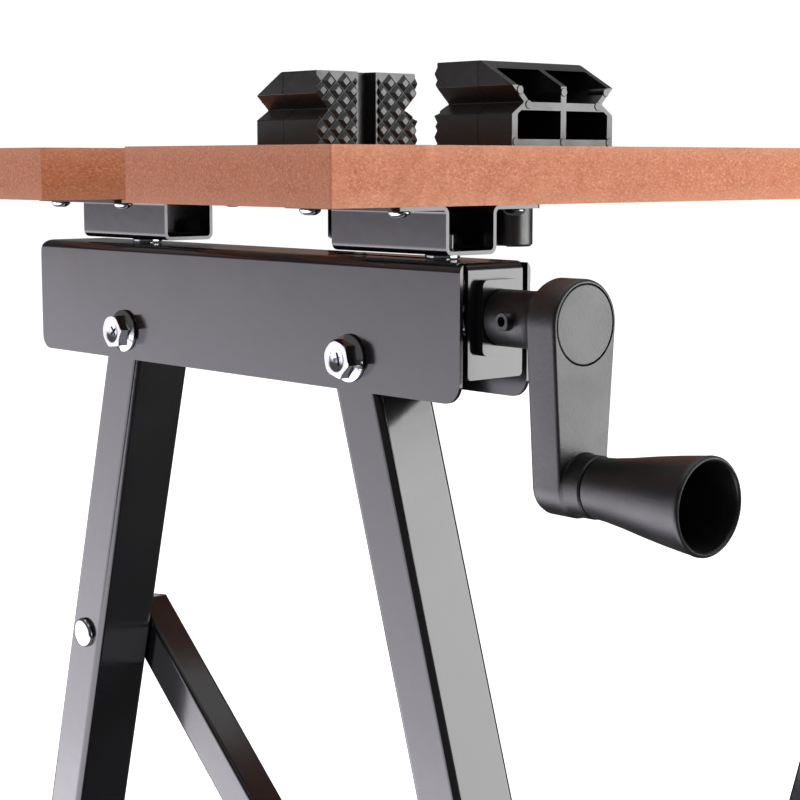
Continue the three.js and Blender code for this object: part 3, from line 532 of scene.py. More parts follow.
FINISHES = {
    "fibreboard": fibreboard(),
    "black_paint": coated(
        "black_paint",
        colour=(0.005, 0.0047, 0.0062, 1),
        gloss=(0.13, 0.2, 30.0),
        relief=(160.0, 1400.0, 0.05, 0.00003),
        dust=(0.12, 900.0),
    ),
    "bright_zinc": coated(
        "bright_zinc",
        colour=(0.32, 0.325, 0.34, 1),
        gloss=(0.08, 0.2, 300.0),
        relief=(500.0, 2500.0, 0.4, 0.00002),
        dust=(0.1, 1500.0),
        metallic=1.0,
    ),
    "crank_plastic": coated(
        "crank_plastic",
        colour=(0.0045, 0.0045, 0.0048, 1),
        gloss=(0.33, 0.43, 60.0),
        relief=(700.0, 3200.0, 0.9, 0.00005),
        dust=(0.1, 1500.0),
        specular=0.37,
    ),
    "bearing_plastic": coated(
        "bearing_plastic",
        colour=(0.006, 0.006, 0.0064, 1),
        gloss=(0.13, 0.2, 60.0),
        relief=(300.0, 2600.0, 0.1, 0.00003),
        dust=(0.1, 1500.0),
    ),
    "dog_plastic": coated(
        "dog_plastic",
        colour=(0.006, 0.006, 0.0062, 1),
        gloss=(0.26, 0.38, 90.0),
        relief=(250.0, 2200.0, 0.3, 0.00005),
        dust=(0.25, 1100.0),
    ),
    "foot_rubber": coated(
        "foot_rubber",
        colour=(0.014, 0.014, 0.014, 1),
        gloss=(0.6, 0.8, 70.0),
        relief=(400.0, 2600.0, 0.8, 0.00008),
        dust=(0.3, 900.0),
    ),
}


# ---- Boards ----
def jaw_board(end, body):
    node = end + "_jaw_board"
    low, high = (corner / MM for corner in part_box(node))
    outline = rounded(low.x, high.x, low.y, high.y, 0.8, 2)
    board = prism(outline, low.z, high.z, "z")
    hole_y = high.y - DOG_HOLES_IN if end == "front" else low.y + DOG_HOLES_IN
    holes = []
    for x in DOG_HOLES_X:
        profile = [(low.z - 1, 10.8), (low.z + 0.7, 9.6), (high.z - 0.7, 9.6), (high.z + 1, 10.8)]
        holes.append(lathe(profile, (x, hole_y), "z", 64))
    cut(board, *holes)
    finished(board, node, body, "fibreboard", Matrix.Scale(MM, 4), 0.45)


# ---- Beams and brackets ----
def bent_sheet(inside, outside):
    """The outline of a bent sheet from its two sides."""
    return inside + outside[::-1]


def beam(side, body):
    top, bottom = BEAM_TOP, BEAM_TOP - BEAM_HEIGHT
    wall, bend, wide = BEAM_WALL, BEAM_BEND, BEAM_WIDTH
    inner = bend - wall
    section = bent_sheet(
        [(0, bottom)] + arc(bend, top - bend, bend, 180, 90) + arc(wide - bend, top - bend, bend, 90, 0)
        + [(wide, bottom)],
        [(wall, bottom)] + arc(bend, top - bend, inner, 180, 90)
        + arc(wide - bend, top - bend, inner, 90, 0) + [(wide - wall, bottom)],
    )
    shell = prism(section, 0, BEAM_LENGTH, "y")
    side_view = (
        [(8, bottom)] + arc(BEAM_LENGTH - 6, bottom + 6, 6, -90, 0)
        + arc(BEAM_LENGTH - 6, top - 6, 6, 0, 90) + [(-1, top + 1), (-1, bottom + 8)]
        + [(0, bottom + 8)] + arc(8, bottom + 8, 8, 180, 262)
    )
    within(shell, prism(side_view, -1, wide + 1, "x"))
    cut(shell, block(wall, wide - wall, -1, bend, top - bend, top + 1))
    flap_bend = arc(bend, top - bend, bend, 180, 90)
    flap_inner = arc(bend, top - bend, inner, 180, 90)
    flap = prism(
        bent_sheet(
            [(0, top - FLAP_BOTTOM)] + flap_bend + [(bend + 3, top)],
            [(wall, top - FLAP_BOTTOM)] + flap_inner + [(bend + 3, top - wall)],
        ),
        FLAP_GAP, wide - FLAP_GAP, "x",
    )
    front_view = rounded(FLAP_GAP, wide - FLAP_GAP, top - FLAP_BOTTOM, top + 10, 1.5, 4)
    within(flap, prism(front_view, -1, 20, "y"))
    join(shell, flap)
    holes = [rod(BOLT_HOLE, -1, wide + 1, (y, PIVOT_Z), "x") for y in PIVOTS_Y.values()]
    slot = arc(MID, 28, 3.5, 180, 360) + arc(MID, 86, 3.5, 0, 180)
    holes.append(prism(slot, top - bend, top + 1, "z"))
    holes.append(rod(3.5, top - bend, top + 1, (MID, BRACKETS_Y["rear"]), "z"))
    holes.append(rod(7.5, -1, bend, (MID, SPINDLE_Z), "y"))
    cut(shell, *holes)
    finished(shell, side + "_beam", body, "black_paint", side_place(side), 0.3, 3)


def bracket(side, end, body):
    low, high, t, r = BRACKET_LOW, BRACKET_HIGH, SHEET, 3.0
    wall, flange = 12.5, 36.5
    left, right = MID - wall, MID + wall
    under = (
        [(MID - flange, high - t)] + arc(left - r + t, high - r, r - t, 90, 0)
        + arc(left + r, low + r, r, 180, 270) + arc(right - r, low + r, r, -90, 0)
        + arc(right + r - t, high - r, r - t, 180, 90) + [(MID + flange, high - t)]
    )
    over = (
        [(MID - flange, high)] + arc(left - r + t, high - r, r, 90, 0)
        + arc(left + r, low + r, r - t, 180, 270) + arc(right - r, low + r, r - t, -90, 0)
        + arc(right + r - t, high - r, r, 180, 90) + [(MID + flange, high)]
    )
    y = BRACKETS_Y[end]
    sheet = prism(bent_sheet(under, over), y - 32, y + 32, "y")
    plan = rounded(MID - flange, MID + flange, y - 32, y + 32, 3, 6)
    within(sheet, prism(plan, low - 1, high + 1, "z"))
    holes = [
        rod(2.4, high - r, high + 1, (MID + a * SCREWS_ACROSS, y + b * SCREWS_ALONG), "z", steps=24)
        for a in (-1, 1) for b in (-1, 1)
    ]
    holes.append(rod(3.5, low - 1, low + r, (MID, BRACKET_BOLTS_Y[end]), "z"))
    cut(sheet, *holes)
    finished(sheet, f"{side}_{end}_bracket", body, "black_paint", side_place(side), 0.3, 3)


# ---- Fasteners, drawn with the head's outer end towards +Z and the seat at z = 0 ----
def hexagon(across, bottom, top, chamfer=0.9, both=False):
    """A hexagonal prism with its corners turned off."""
    corner = across / math.sqrt(3)
    outline = [(corner * math.cos(TAU * i / 6), corner * math.sin(TAU * i / 6)) for i in range(6)]
    low = (bottom, corner - chamfer) if both else (bottom, corner + 1)
    mid = (bottom + 0.5, corner + 0.05) if both else (bottom + 0.1, corner + 1)
    profile = [(bottom, 0), low, mid, (top - 0.55, corner + 0.05), (top, corner - chamfer), (top, 0)]
    return within(prism(outline, bottom, top, "z"), lathe(profile, (0, 0), "z", 72))


def cross_recess(size, top, depth):
    arms = []
    for a, b in ((size, 0.75), (0.75, size)):
        arms.append(loft([
            ring([(-a * s, -b * s), (a * s, -b * s), (a * s, b * s), (-a * s, b * s)], z, "z")
            for s, z in ((0.62, top - depth), (1.0, top + 0.5))
        ]))
    return arms


def flange_bolt():
    """A hex flange bolt with a dished, cross-recessed head."""
    head = hexagon(HEX_ACROSS, 0.5, HEAD_TOP)
    join(head, lathe([(0, 0), (0, 9.0), (0.5, 9.1), (1.0, 9.0), (2.1, 6.6), (2.3, 0)], (0, 0), "z", 72))
    cut(head, *cross_recess(3.1, HEAD_TOP, 2.4))
    hollow = [(5.55, 0), (5.62, 1.5), (5.85, 2.9), (6.2, 4.1), (6.7, 5.1), (7.2, 5.4), (7.2, 0)]
    cut(head, lathe(hollow, (0, 0), "z", 48))
    return join(head, rod(BOLT_RADIUS, -45, 0.5, (0, 0), "z", 0.5, 32))


def leg_bolt(side, end, body):
    bolt = flange_bolt()
    outwards = Matrix.Translation((-0.3, PIVOTS_Y[end], PIVOT_Z)) @ Matrix.Rotation(-TAU / 4, 4, "Y")
    turned(bolt, outwards @ Matrix.Rotation(math.radians(14 if end == "front" else 37), 4, "Z"))
    finished(bolt, f"{side}_{end}_leg_bolt", body, "bright_zinc", side_place(side), 0.22)


def leg_nut(side, end, body):
    nut = hexagon(HEX_ACROSS, 0.5, 7.6)
    join(nut, lathe([(0, 0), (0, 9.0), (0.5, 9.1), (0.9, 9.0), (1.9, 6.6), (2.1, 0)], (0, 0), "z", 72))
    cut(nut, rod(BOLT_HOLE, -1, 9, (0, 0), "z"))
    outwards = Matrix.Translation((BEAM_WIDTH + 0.3, PIVOTS_Y[end], PIVOT_Z))
    turned(nut, outwards @ Matrix.Rotation(TAU / 4, 4, "Y"))
    finished(nut, f"{side}_{end}_leg_nut", body, "bright_zinc", side_place(side), 0.22)


def bracket_bolt(side, end, body):
    """Hex bolt in the bracket's channel with a spacing collar under the bracket."""
    seat = BRACKET_LOW + 1.8
    y = BRACKET_BOLTS_Y[end]
    bottom = SPINDLE_Z + 7.3 if end == "front" else BEAM_TOP - 9
    bolt = hexagon(HEX_ACROSS, seat, seat + 5.6)
    join(bolt, rod(3.2, bottom, seat + 1, (0, 0), "z", 0.5))
    join(bolt, rod(6.5, BEAM_TOP + 0.3, BRACKET_LOW - 0.3, (0, 0), "z", 0.2))
    if end == "rear":
        join(bolt, hexagon(HEX_ACROSS, BEAM_TOP - 7.4, BEAM_TOP - 1.8, both=True))
    turned(bolt, Matrix.Translation((MID, y, 0)) @ Matrix.Rotation(0.3, 4, "Z"))
    node = side + ("_jaw_slide_bolt" if end == "front" else "_rear_bracket_bolt")
    finished(bolt, node, body, "bright_zinc", side_place(side), 0.2)


def pan_head_screw():
    """Drawn hanging: its head's seat at z = 0, the head below and the shank above."""
    profile = [(1.4, 0), (1.4, 1.9), (0, 2.0), (0, 3.7), (-0.5, 4.1), (-1.1, 4.0), (-1.9, 3.3),
               (-2.45, 2.2), (-2.6, 1.0), (-2.6, 0)]
    screw = lathe(profile, (0, 0), "z", 32)
    recess = [turned(arm, Matrix.Rotation(TAU / 2, 4, "X")) for arm in cross_recess(1.9, 2.6, 1.4)]
    return cut(screw, *recess)


def screws_tree(seed):
    """Sets a screw at every point, each turned by chance."""
    tree = bpy.data.node_groups.new("screws", "GeometryNodeTree")
    tree.interface.new_socket("Geometry", in_out="INPUT", socket_type="NodeSocketGeometry")
    tree.interface.new_socket("Screw", in_out="INPUT", socket_type="NodeSocketObject")
    tree.interface.new_socket("Finish", in_out="INPUT", socket_type="NodeSocketMaterial")
    seeds = tree.interface.new_socket("Seed", in_out="INPUT", socket_type="NodeSocketInt")
    seeds.default_value = seed
    tree.interface.new_socket("Geometry", in_out="OUTPUT", socket_type="NodeSocketGeometry")
    given = tree.nodes.new("NodeGroupInput").outputs
    screw = add(tree, "GeometryNodeObjectInfo", {"Object": given["Screw"]}).outputs["Geometry"]
    spin = add(tree, "FunctionNodeRandomValue", {"Seed": given["Seed"]}, data_type="FLOAT_VECTOR")
    spin.inputs[0].default_value = (0, 0, 0)
    spin.inputs[1].default_value = (0, 0, TAU)
    placed = add(
        tree,
        "GeometryNodeInstanceOnPoints",
        {"Points": given["Geometry"], "Instance": screw, "Rotation": spin.outputs[0]},
    )
    real = add(tree, "GeometryNodeRealizeInstances", {"Geometry": placed.outputs[0]}).outputs[0]
    shown = add(tree, "GeometryNodeSetMaterial", {"Geometry": real, "Material": given["Finish"]})
    out = tree.nodes.new("NodeGroupOutput")
    tree.links.new(shown.outputs[0], out.inputs["Geometry"])
    return tree


def set_input(modifier, label, value):
    """Sets a modifier's input by its socket's identifier."""
    for item in modifier.node_group.interface.items_tree:
        if item.item_type == "SOCKET" and item.in_out == "INPUT" and item.name == label:
            modifier[item.identifier] = value


def generated(obj, tree, name, body, slot, **inputs):
    """Runs a geometry group on an object and leaves a plain mesh in the shared frame."""
    modifier = obj.modifiers.new("build", "NODES")
    modifier.node_group = tree
    for label, value in inputs.items():
        set_input(modifier, label.replace("_", " "), value)
    bake(obj)
    obj.data.validate()
    turned(obj, Matrix.Scale(MM, 4))
    obj.data.shade_smooth()
    obj.data.set_sharp_from_angle(angle=math.radians(40))
    obj.name = obj.data.name = name
    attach(obj, body)
    return obj


def board_screws(end, body, tree):
    """The eight screws that hold one jaw's brackets."""
    points = []
    for side in ("left", "right"):
        place = side_place(side)
        for a in (-1, 1):
            for b in (-1, 1):
                at = Vector((MID + a * SCREWS_ACROSS, BRACKETS_Y[end] + b * SCREWS_ALONG, 0))
                points.append((place @ at) / MM + Vector((0, 0, BRACKET_HIGH - 1.55)))
    mesh = bpy.data.meshes.new("points")
    mesh.from_pydata(points, [], [])
    obj = bpy.data.objects.new("points", mesh)
    bpy.context.scene.collection.objects.link(obj)
    screw = pan_head_screw()
    zinc = FINISHES["bright_zinc"]
    generated(obj, tree, end + "_jaw_screws", body, "bright_zinc", Screw=screw, Finish=zinc)
    bpy.data.objects.remove(screw)


# ---- Spindle and crank ----
def spindle(side, body):
    """A rod with a left-hand thread, a thrust collar and a cross hole for the crank's pin."""
    steps, step = 40, 0.4
    start, stop = 14, SPINDLE_END - 1.4
    plain = [(ARM_BACK - 7.3, SPINDLE_RADIUS - 0.5), (ARM_BACK - 6.8, SPINDLE_RADIUS)]
    plain += [(13.0, SPINDLE_RADIUS), (13.6, 4.2)]
    rings = []
    for along, radius in plain:
        circle = arc(MID, SPINDLE_Z, radius, 0, 360, steps)[:-1]
        rings.append(ring(circle, along, "y"))
    for k in range(int((stop - start) / step)):
        y = start + k * step
        circle = []
        for i in range(steps):
            turn = TAU * i / steps
            phase = (y / THREAD_PITCH + i / steps) % 1.0
            rise = min(1.0, max(0.0, 2.6 * abs(phase - 0.5) - 0.25))
            fade = min(1.0, (y - start) / 2, (stop - y) / 2)
            radius = SPINDLE_RADIUS - THREAD_DEPTH * (1 - rise * fade)
            circle.append((MID + radius * math.cos(turn), SPINDLE_Z + radius * math.sin(turn)))
        rings.append(ring(circle, y, "y"))
    rings.append(ring(arc(MID, SPINDLE_Z, 3.4, 0, 360, steps)[:-1], SPINDLE_END, "y"))
    screw = loft(rings)
    join(screw, rod(8.5, 8.3, 11.3, (MID, SPINDLE_Z), "y", 0.4))
    cut(screw, rod(PIN_HOLE, 0, BEAM_WIDTH, (PIN_Y, SPINDLE_Z), "x", steps=24))
    finished(screw, side + "_spindle", body, "bright_zinc", side_place(side), 0)


def arm_outline(inset):
    """The arm's outline: a wide round end at the spindle, a narrow one at the grip."""
    tilt = math.degrees(math.asin((ARM_TOP_RADIUS - ARM_LOW_RADIUS) / (SPINDLE_Z - GRIP_Z)))
    return arc(MID, SPINDLE_Z, ARM_TOP_RADIUS - inset, -tilt, 180 + tilt, 40) + arc(
        MID, GRIP_Z, ARM_LOW_RADIUS - inset, 180 + tilt, 360 - tilt, 32
    )


def crank_arm(side, body):
    layers = [(ARM_BACK, 2.6), (ARM_BACK - 0.35, 1.5), (ARM_BACK - 1.2, 0.6), (ARM_BACK - 2.6, 0.05)]
    layers += [(ARM_FRONT + 1.3, 0), (ARM_FRONT + 0.55, 0.2), (ARM_FRONT + 0.12, 0.65), (ARM_FRONT, 1.2)]
    arm = loft([ring(arm_outline(inset), y, "y") for y, inset in layers])
    hub = [(-3.9, 0), (-3.9, 9.7), (-4.4, 10.2), (-18, 10.2), (-22.5, 10.5), (-25.5, 11.2),
           (-27.8, 12.4), (-29.4, 14.0), (-34, 14.0), (-34, 0)]
    join(arm, lathe(hub, (MID, SPINDLE_Z), "y", 72))
    collar = [(ARM_FRONT + 2, 0), (ARM_FRONT + 2, 11.6), (ARM_FRONT - 0.2, 11.4), (ARM_FRONT - 0.9, 11.0),
              (GRIP_START + 0.9, 11.0), (GRIP_START + 0.3, 10.5), (GRIP_START + 0.3, 0)]
    join(arm, lathe(collar, (MID, GRIP_Z), "y", 72))
    boss = [(MID - 13.0, 0), (MID - 13.0, 2.9), (MID - 12.7, 3.2), (MID - 8, 3.5), (MID - 8, 0)]
    join(arm, lathe(boss, (PIN_Y, SPINDLE_Z), "x", 48))
    lug = prism(filleted([(MID - 3, -30), (MID + 3, -30), (MID + 3, -25.5), (MID - 3, -25.5)], 1.0),
                SPINDLE_Z - 13.6, SPINDLE_Z - 9, "z")
    join(arm, lug)
    cuts = [
        rod(5.3, ARM_BACK - 7.6, 1, (MID, SPINDLE_Z), "y"),
        rod(14.2, ARM_FRONT - 1, ARM_FRONT + 2.1, (MID, SPINDLE_Z), "y", steps=96),
        rod(4.3, GRIP_START - 1, -32, (MID, GRIP_Z), "y"),
        rod(PIN_HOLE, 0, MID + 12, (PIN_Y, SPINDLE_Z), "x", steps=32),
    ]
    cut(arm, *cuts)
    finished(arm, side + "_crank_arm", body, "crank_plastic", side_place(side), 0.3, 2, 32)


def crank_cap(side, body):
    disc = [(ARM_FRONT + 1.8, 0), (ARM_FRONT + 1.8, 13.9), (ARM_FRONT + 0.4, 13.9), (ARM_FRONT + 0.1, 13.6),
            (ARM_FRONT, 13.2), (ARM_FRONT, 0)]
    cap = lathe(disc, (MID, SPINDLE_Z), "y", 96)
    finished(cap, side + "_crank_cap", body, "crank_plastic", side_place(side), 0, smooth=50)


def crank_pin(side, body):
    pin = rod(1.5, MID - 8.6, MID + 8.6, (PIN_Y, SPINDLE_Z), "x", 0.3, 24)
    finished(pin, side + "_crank_pin", body, "bright_zinc", side_place(side), 0)


def crank_grip(side, body):
    """A hollow flared handle, open at its outer end."""
    outer = [(0, 10.2), (0.4, 10.6), (6, 11.0), (14, 12.1), (24, 13.75), (34, 15.2), (41, 16.05)]
    lip = [(44.5, 16.45), (45.6, 16.65), (46.5, 16.6), (47.0, 16.2), (47.2, 15.6), (46.9, 15.05),
           (46.2, 14.8)]
    inner = [(44.5, 14.55), (34, 13.3), (24, 11.8), (14, 10.1), (11, 9.2), (10, 8.2), (10, 4.1), (0, 4.1)]
    profile = [(GRIP_START - along, radius) for along, radius in outer + lip + inner]
    grip = lathe(profile, (MID, GRIP_Z), "y", 96, closed=True)
    finished(grip, side + "_crank_grip", body, "crank_plastic", side_place(side), 0, smooth=42)


def grip_axle(side, body):
    back = GRIP_START - 10.3
    profile = [(back - 4, 0), (back - 4, 5.6), (back - 3.6, 6.4), (back - 2.8, 6.9), (back - 1.8, 7.0),
               (back, 7.0), (back, 4.0), (-32.7, 4.0), (-32.3, 3.6), (-32.3, 0)]
    axle = lathe(profile, (MID, GRIP_Z), "y", 48)
    cut(axle, *[
        turned(arm, Matrix.Translation((MID, 0, GRIP_Z)) @ Matrix.Rotation(TAU / 4, 4, "X"))
        for arm in cross_recess(3.0, -(back - 4), 2.2)
    ])
    finished(axle, side + "_grip_axle", body, "bright_zinc", side_place(side), 0, smooth=35)


def spindle_bearing(side, body):
    flange = prism(rounded(MID - 9.5, MID + 9.5, SPINDLE_Z - 13.5, SPINDLE_Z + 13.5, 2.5), -3.3, -0.3, "y")
    join(flange, rod(7.2, -2, 8, (MID, SPINDLE_Z), "y", 0.4))
    cut(flange, rod(5.1, -5, 9, (MID, SPINDLE_Z), "y"))
    node = side + "_spindle_bearing"
    place = side_place(side)
    finished(flange, node, body, "crank_plastic", place, 0.5, 3, finish="bearing_plastic")


# ---- Legs ----
def under(height):
    """A block that takes in everything of one side's legs below a height."""
    return block(-50, 100, -790, 1580, -790, height)


def leg(side, end, body):
    y, lean_angle = PIVOTS_Y[end], LEANS[end]
    front = y - LEG_DEPTH / 2 + LEG_SET_BACK
    rear = front + LEG_DEPTH
    low, high = PIVOT_Z - LEG_LENGTH, PIVOT_Z + LEG_TOP_RADIUS
    tubing = tube(
        rounded(LEG_OUTER, LEG_INNER, front, rear, 3.0, 8),
        rounded(LEG_OUTER + SHEET, LEG_INNER - SHEET, front + SHEET, rear - SHEET, 1.5, 8),
        low, high, "z",
    )
    top = LEG_TOP_RADIUS
    outline = (
        [(front - 1, low - 1), (rear + 1, low - 1)] + arc(rear + 1 - top, PIVOT_Z, top, 0, 90, 12)
        + arc(y, PIVOT_Z, top, 90, 180, 16) + [(front - 1, PIVOT_Z - top)]
    )
    within(tubing, prism(outline, LEG_OUTER - 1, LEG_INNER + 1, "x"))
    tools = [rod(BOLT_HOLE, 0, BEAM_WIDTH, (y, PIVOT_Z), "x")]
    if end == "front":
        tools.append(block(LEG_OUTER + 3, LEG_INNER - 3, y, rear + 1, PIVOT_Z - 42, high + 1))
    cut(tubing, *tools)
    turned(tubing, about_x(lean_angle, y, PIVOT_Z))
    hole = rod(BOLT_HOLE, MID, 40, KNOB, "x") if end == "front" else rod(RIVET_HOLE, 0, 40, BRACE_TOP, "x")
    cut(tubing, under(5.3), hole)
    finished(tubing, f"{side}_{end}_leg", body, "black_paint", side_place(side), 0.3, 3, 35)


def foot(side, end, body):
    """A moulded boot with two grip grooves and a flat sole."""
    y, lean_angle = PIVOTS_Y[end], LEANS[end]
    front = y - LEG_DEPTH / 2 + LEG_SET_BACK
    along = PIVOT_Z / math.cos(math.radians(lean_angle))
    top = PIVOT_Z - along + 46

    def outline(grow, radius):
        return rounded(LEG_OUTER - grow, LEG_INNER + grow, front - grow, front + LEG_DEPTH + grow, radius, 6)

    levels = [(0, 2.0), (-0.8, 2.8)]
    for groove in (-8, -14):
        levels += [(groove + 1.2, 2.8), (groove + 0.6, 2.0), (groove - 0.6, 2.0), (groove - 1.2, 2.8)]
    levels.append((-100, 2.8))
    boot = loft([ring(outline(grow, 3.0 + grow), top + z, "z") for z, grow in levels])
    pocket = prism(outline(0.3, 3.0), top - 100, top + 1, "z")
    swing = about_x(lean_angle, y, PIVOT_Z)
    cut(turned(boot, swing), under(0))
    cut(turned(pocket, swing), under(5))
    cut(boot, pocket)
    finished(boot, f"{side}_{end}_foot", body, "foot_rubber", side_place(side), 0.4)


def crossbar(end, body):
    y = PIVOTS_Y[end] + LEG_SET_BACK
    z = PIVOT_Z - CROSSBAR_DROP
    half, inner = BAR_HALF, BAR_HALF - SHEET
    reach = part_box(end + "_crossbar")[1].x / MM
    bar = tube(
        rounded(y - half, y + half, z - half, z + half, 2.5),
        rounded(y - inner, y + inner, z - inner, z + inner, 1.2),
        -reach, reach, "x",
    )
    turned(bar, about_x(LEANS[end], PIVOTS_Y[end], PIVOT_Z))
    finished(bar, end + "_crossbar", body, "black_paint", bench_place(), 0.3, 2, 35)


# ---- Braces ----
def brace(side, body):
    """A square tube with a hole at its upper end and an open notch at its lower one."""
    y, z = BRACE_TOP
    low = y - BRACE_LENGTH
    half, inner = BAR_HALF, BAR_HALF - SHEET
    bar = tube(
        rounded(BRACE_OUTER, BRACE_INNER, z - half, z + half, 2.0, 6),
        rounded(BRACE_OUTER + SHEET, BRACE_INNER - SHEET, z - inner, z + inner, 0.8, 6),
        low - 13, y + 13, "y",
    )
    trim = [(low - 14, z - 10), (low - 13, z - 10), (y + 5, z - 11), (y + 13, z - 2), (y + 13, z + 2),
            (y + 5, z + 11), (low - 14, z + 11)]
    within(bar, prism(trim, BRACE_OUTER - 1, BRACE_INNER + 1, "x"))
    r = 4.6
    mouth = prism([(low - r, z), (low + r, z), (low + r + 10, z + 12), (low - r, z + 12)],
                  BRACE_OUTER - 1, BRACE_INNER + 1, "x")
    join(mouth, rod(r, BRACE_OUTER - 1.5, BRACE_INNER + 1.5, (low, z), "x"))
    cut(bar, mouth, rod(RIVET_HOLE, BRACE_OUTER - 1, BRACE_INNER + 1, (y, z), "x"))
    turned(bar, about_x(BRACE_SLOPE, y, z))
    finished(bar, side + "_brace", body, "black_paint", side_place(side), 0.3, 3, 35)


def brace_rivet(side, body):
    outer, inner = LEG_OUTER - 0.3, BRACE_INNER + 0.3
    profile = [(outer - 2, 0), (outer - 2, 5.2), (outer - 1.85, 6.1), (outer - 1.3, 6.7), (outer - 0.5, 6.85),
               (outer, 6.8), (outer, 3.0), (inner, 3.0), (inner, 5.8), (inner + 1.2, 5.6), (inner + 1.8, 4.6),
               (inner + 2, 3.2), (inner + 2, 0)]
    rivet = lathe(profile, BRACE_TOP, "x", 64)
    finished(rivet, side + "_brace_rivet", body, "bright_zinc", side_place(side), 0, smooth=45)


def locking_knob(side, body):
    """A six-lobed knob with a raised centre, and its stud."""
    back = BRACE_INNER + 0.3
    steps = 120
    rings = []
    for depth, scale in ((0, 0.93), (0.8, 1.0), (11.8, 0.97), (13.4, 0.9), (14.2, 0.78)):
        outline = []
        for i in range(steps):
            turn = TAU * i / steps
            radius = scale * (15.6 + 1.4 * math.cos(6 * turn))
            outline.append((KNOB[0] + radius * math.cos(turn), KNOB[1] + radius * math.sin(turn)))
        rings.append(ring(outline, back + depth, "x"))
    knob = loft(rings)
    join(knob, lathe([(back + 13, 0), (back + 13, 8.6), (back + 14.6, 8.2), (back + 15, 7.4), (back + 15, 0)],
                     KNOB, "x", 64))
    join(knob, rod(4, LEG_INNER - 1.5, back + 1, KNOB, "x", 0.4, 32))
    finished(knob, side + "_locking_knob", body, "crank_plastic", side_place(side), 0.4, 2, 35)


# ---- Bench dogs, drawn with the hollow end at -Y ----
def dog_profile(inset):
    half = DOG_HALF_WIDTH - inset
    waist = half - DOG_WAIST
    right = [(half, inset), (half, 13.4), (waist, 18.1), (half, 24.9), (half, DOG_HEIGHT - inset)]
    return right + [(-x, z) for x, z in reversed(right)]


def dog_slot():
    """The vertical slot in the knurled end, wider at its mouth."""
    end = DOG_HALF_LENGTH
    return [(-4, end - 8), (4, end - 8), (6, end + 1), (-6, end + 1)]


def bench_dog_body():
    """A hollow moulding on a split pin, without the knurling."""
    end = DOG_HALF_LENGTH
    dog = prism(filleted(dog_profile(0), 0.7), -end, end - KNURL_RISE, "y")
    hollow = prism(filleted(dog_profile(3.2), 0.8), -end - 1, end - 12, "y")
    cut(hollow, block(-1.6, 1.6, -end - 2, end, -1, 40), block(-31, 31, -end - 2, end, 14.9, 18.2))
    slope = prism([(-end - 1, 24.9), (-end, 24.9), (-end + 19, DOG_HEIGHT), (-end + 19, 37), (-end - 1, 37)],
                  -31, 31, "x")
    cut(dog, hollow, slope, prism(dog_slot(), -1, 37, "z"))
    chamfer = prism([(end - 9, 36), (end + 1, 36), (end + 1, 25.5), (end, 25.5)], -4.2, 4.2, "x")
    cut(dog, chamfer)
    # round marks left where the moulding was pushed out
    marks = [(-27.9, 2.1), (27.9, 2.1), (0, 2.1), (-20.6, 17.2), (20.6, 17.2), (0, 22.6), (-25.6, 23),
             (25.6, 23)]
    for x, z in marks:
        join(dog, rod(1.8, -end - 0.35, -end + 9, (x, z), "y", 0.2, 20))
    # the parting line of the two halves of the mould
    seam = -end + 20
    grooves = []
    for sign in (-1, 1):
        half = sign * DOG_HALF_WIDTH
        waist = half - sign * DOG_WAIST
        path = [(half, -1), (half, 13.4), (waist, 18.1), (half, 24.9), (half, 37)]
        inner = [(x - sign * 0.25, z) for x, z in path]
        outer = [(x + sign * 1.0, z) for x, z in path]
        grooves.append(prism(inner + outer[::-1], seam - 0.14, seam + 0.14, "y"))
    cut(dog, *grooves)
    pin = rod(9.2, -41.9, 0.5, (0, 7), "z", 1.0, 64)
    for sign in (-1, 1):
        x0, x1 = sorted((sign * 2, sign * 11))
        cut(pin, block(x0, x1, 2.6, 11.4, -43, -1))
    return join(dog, pin)


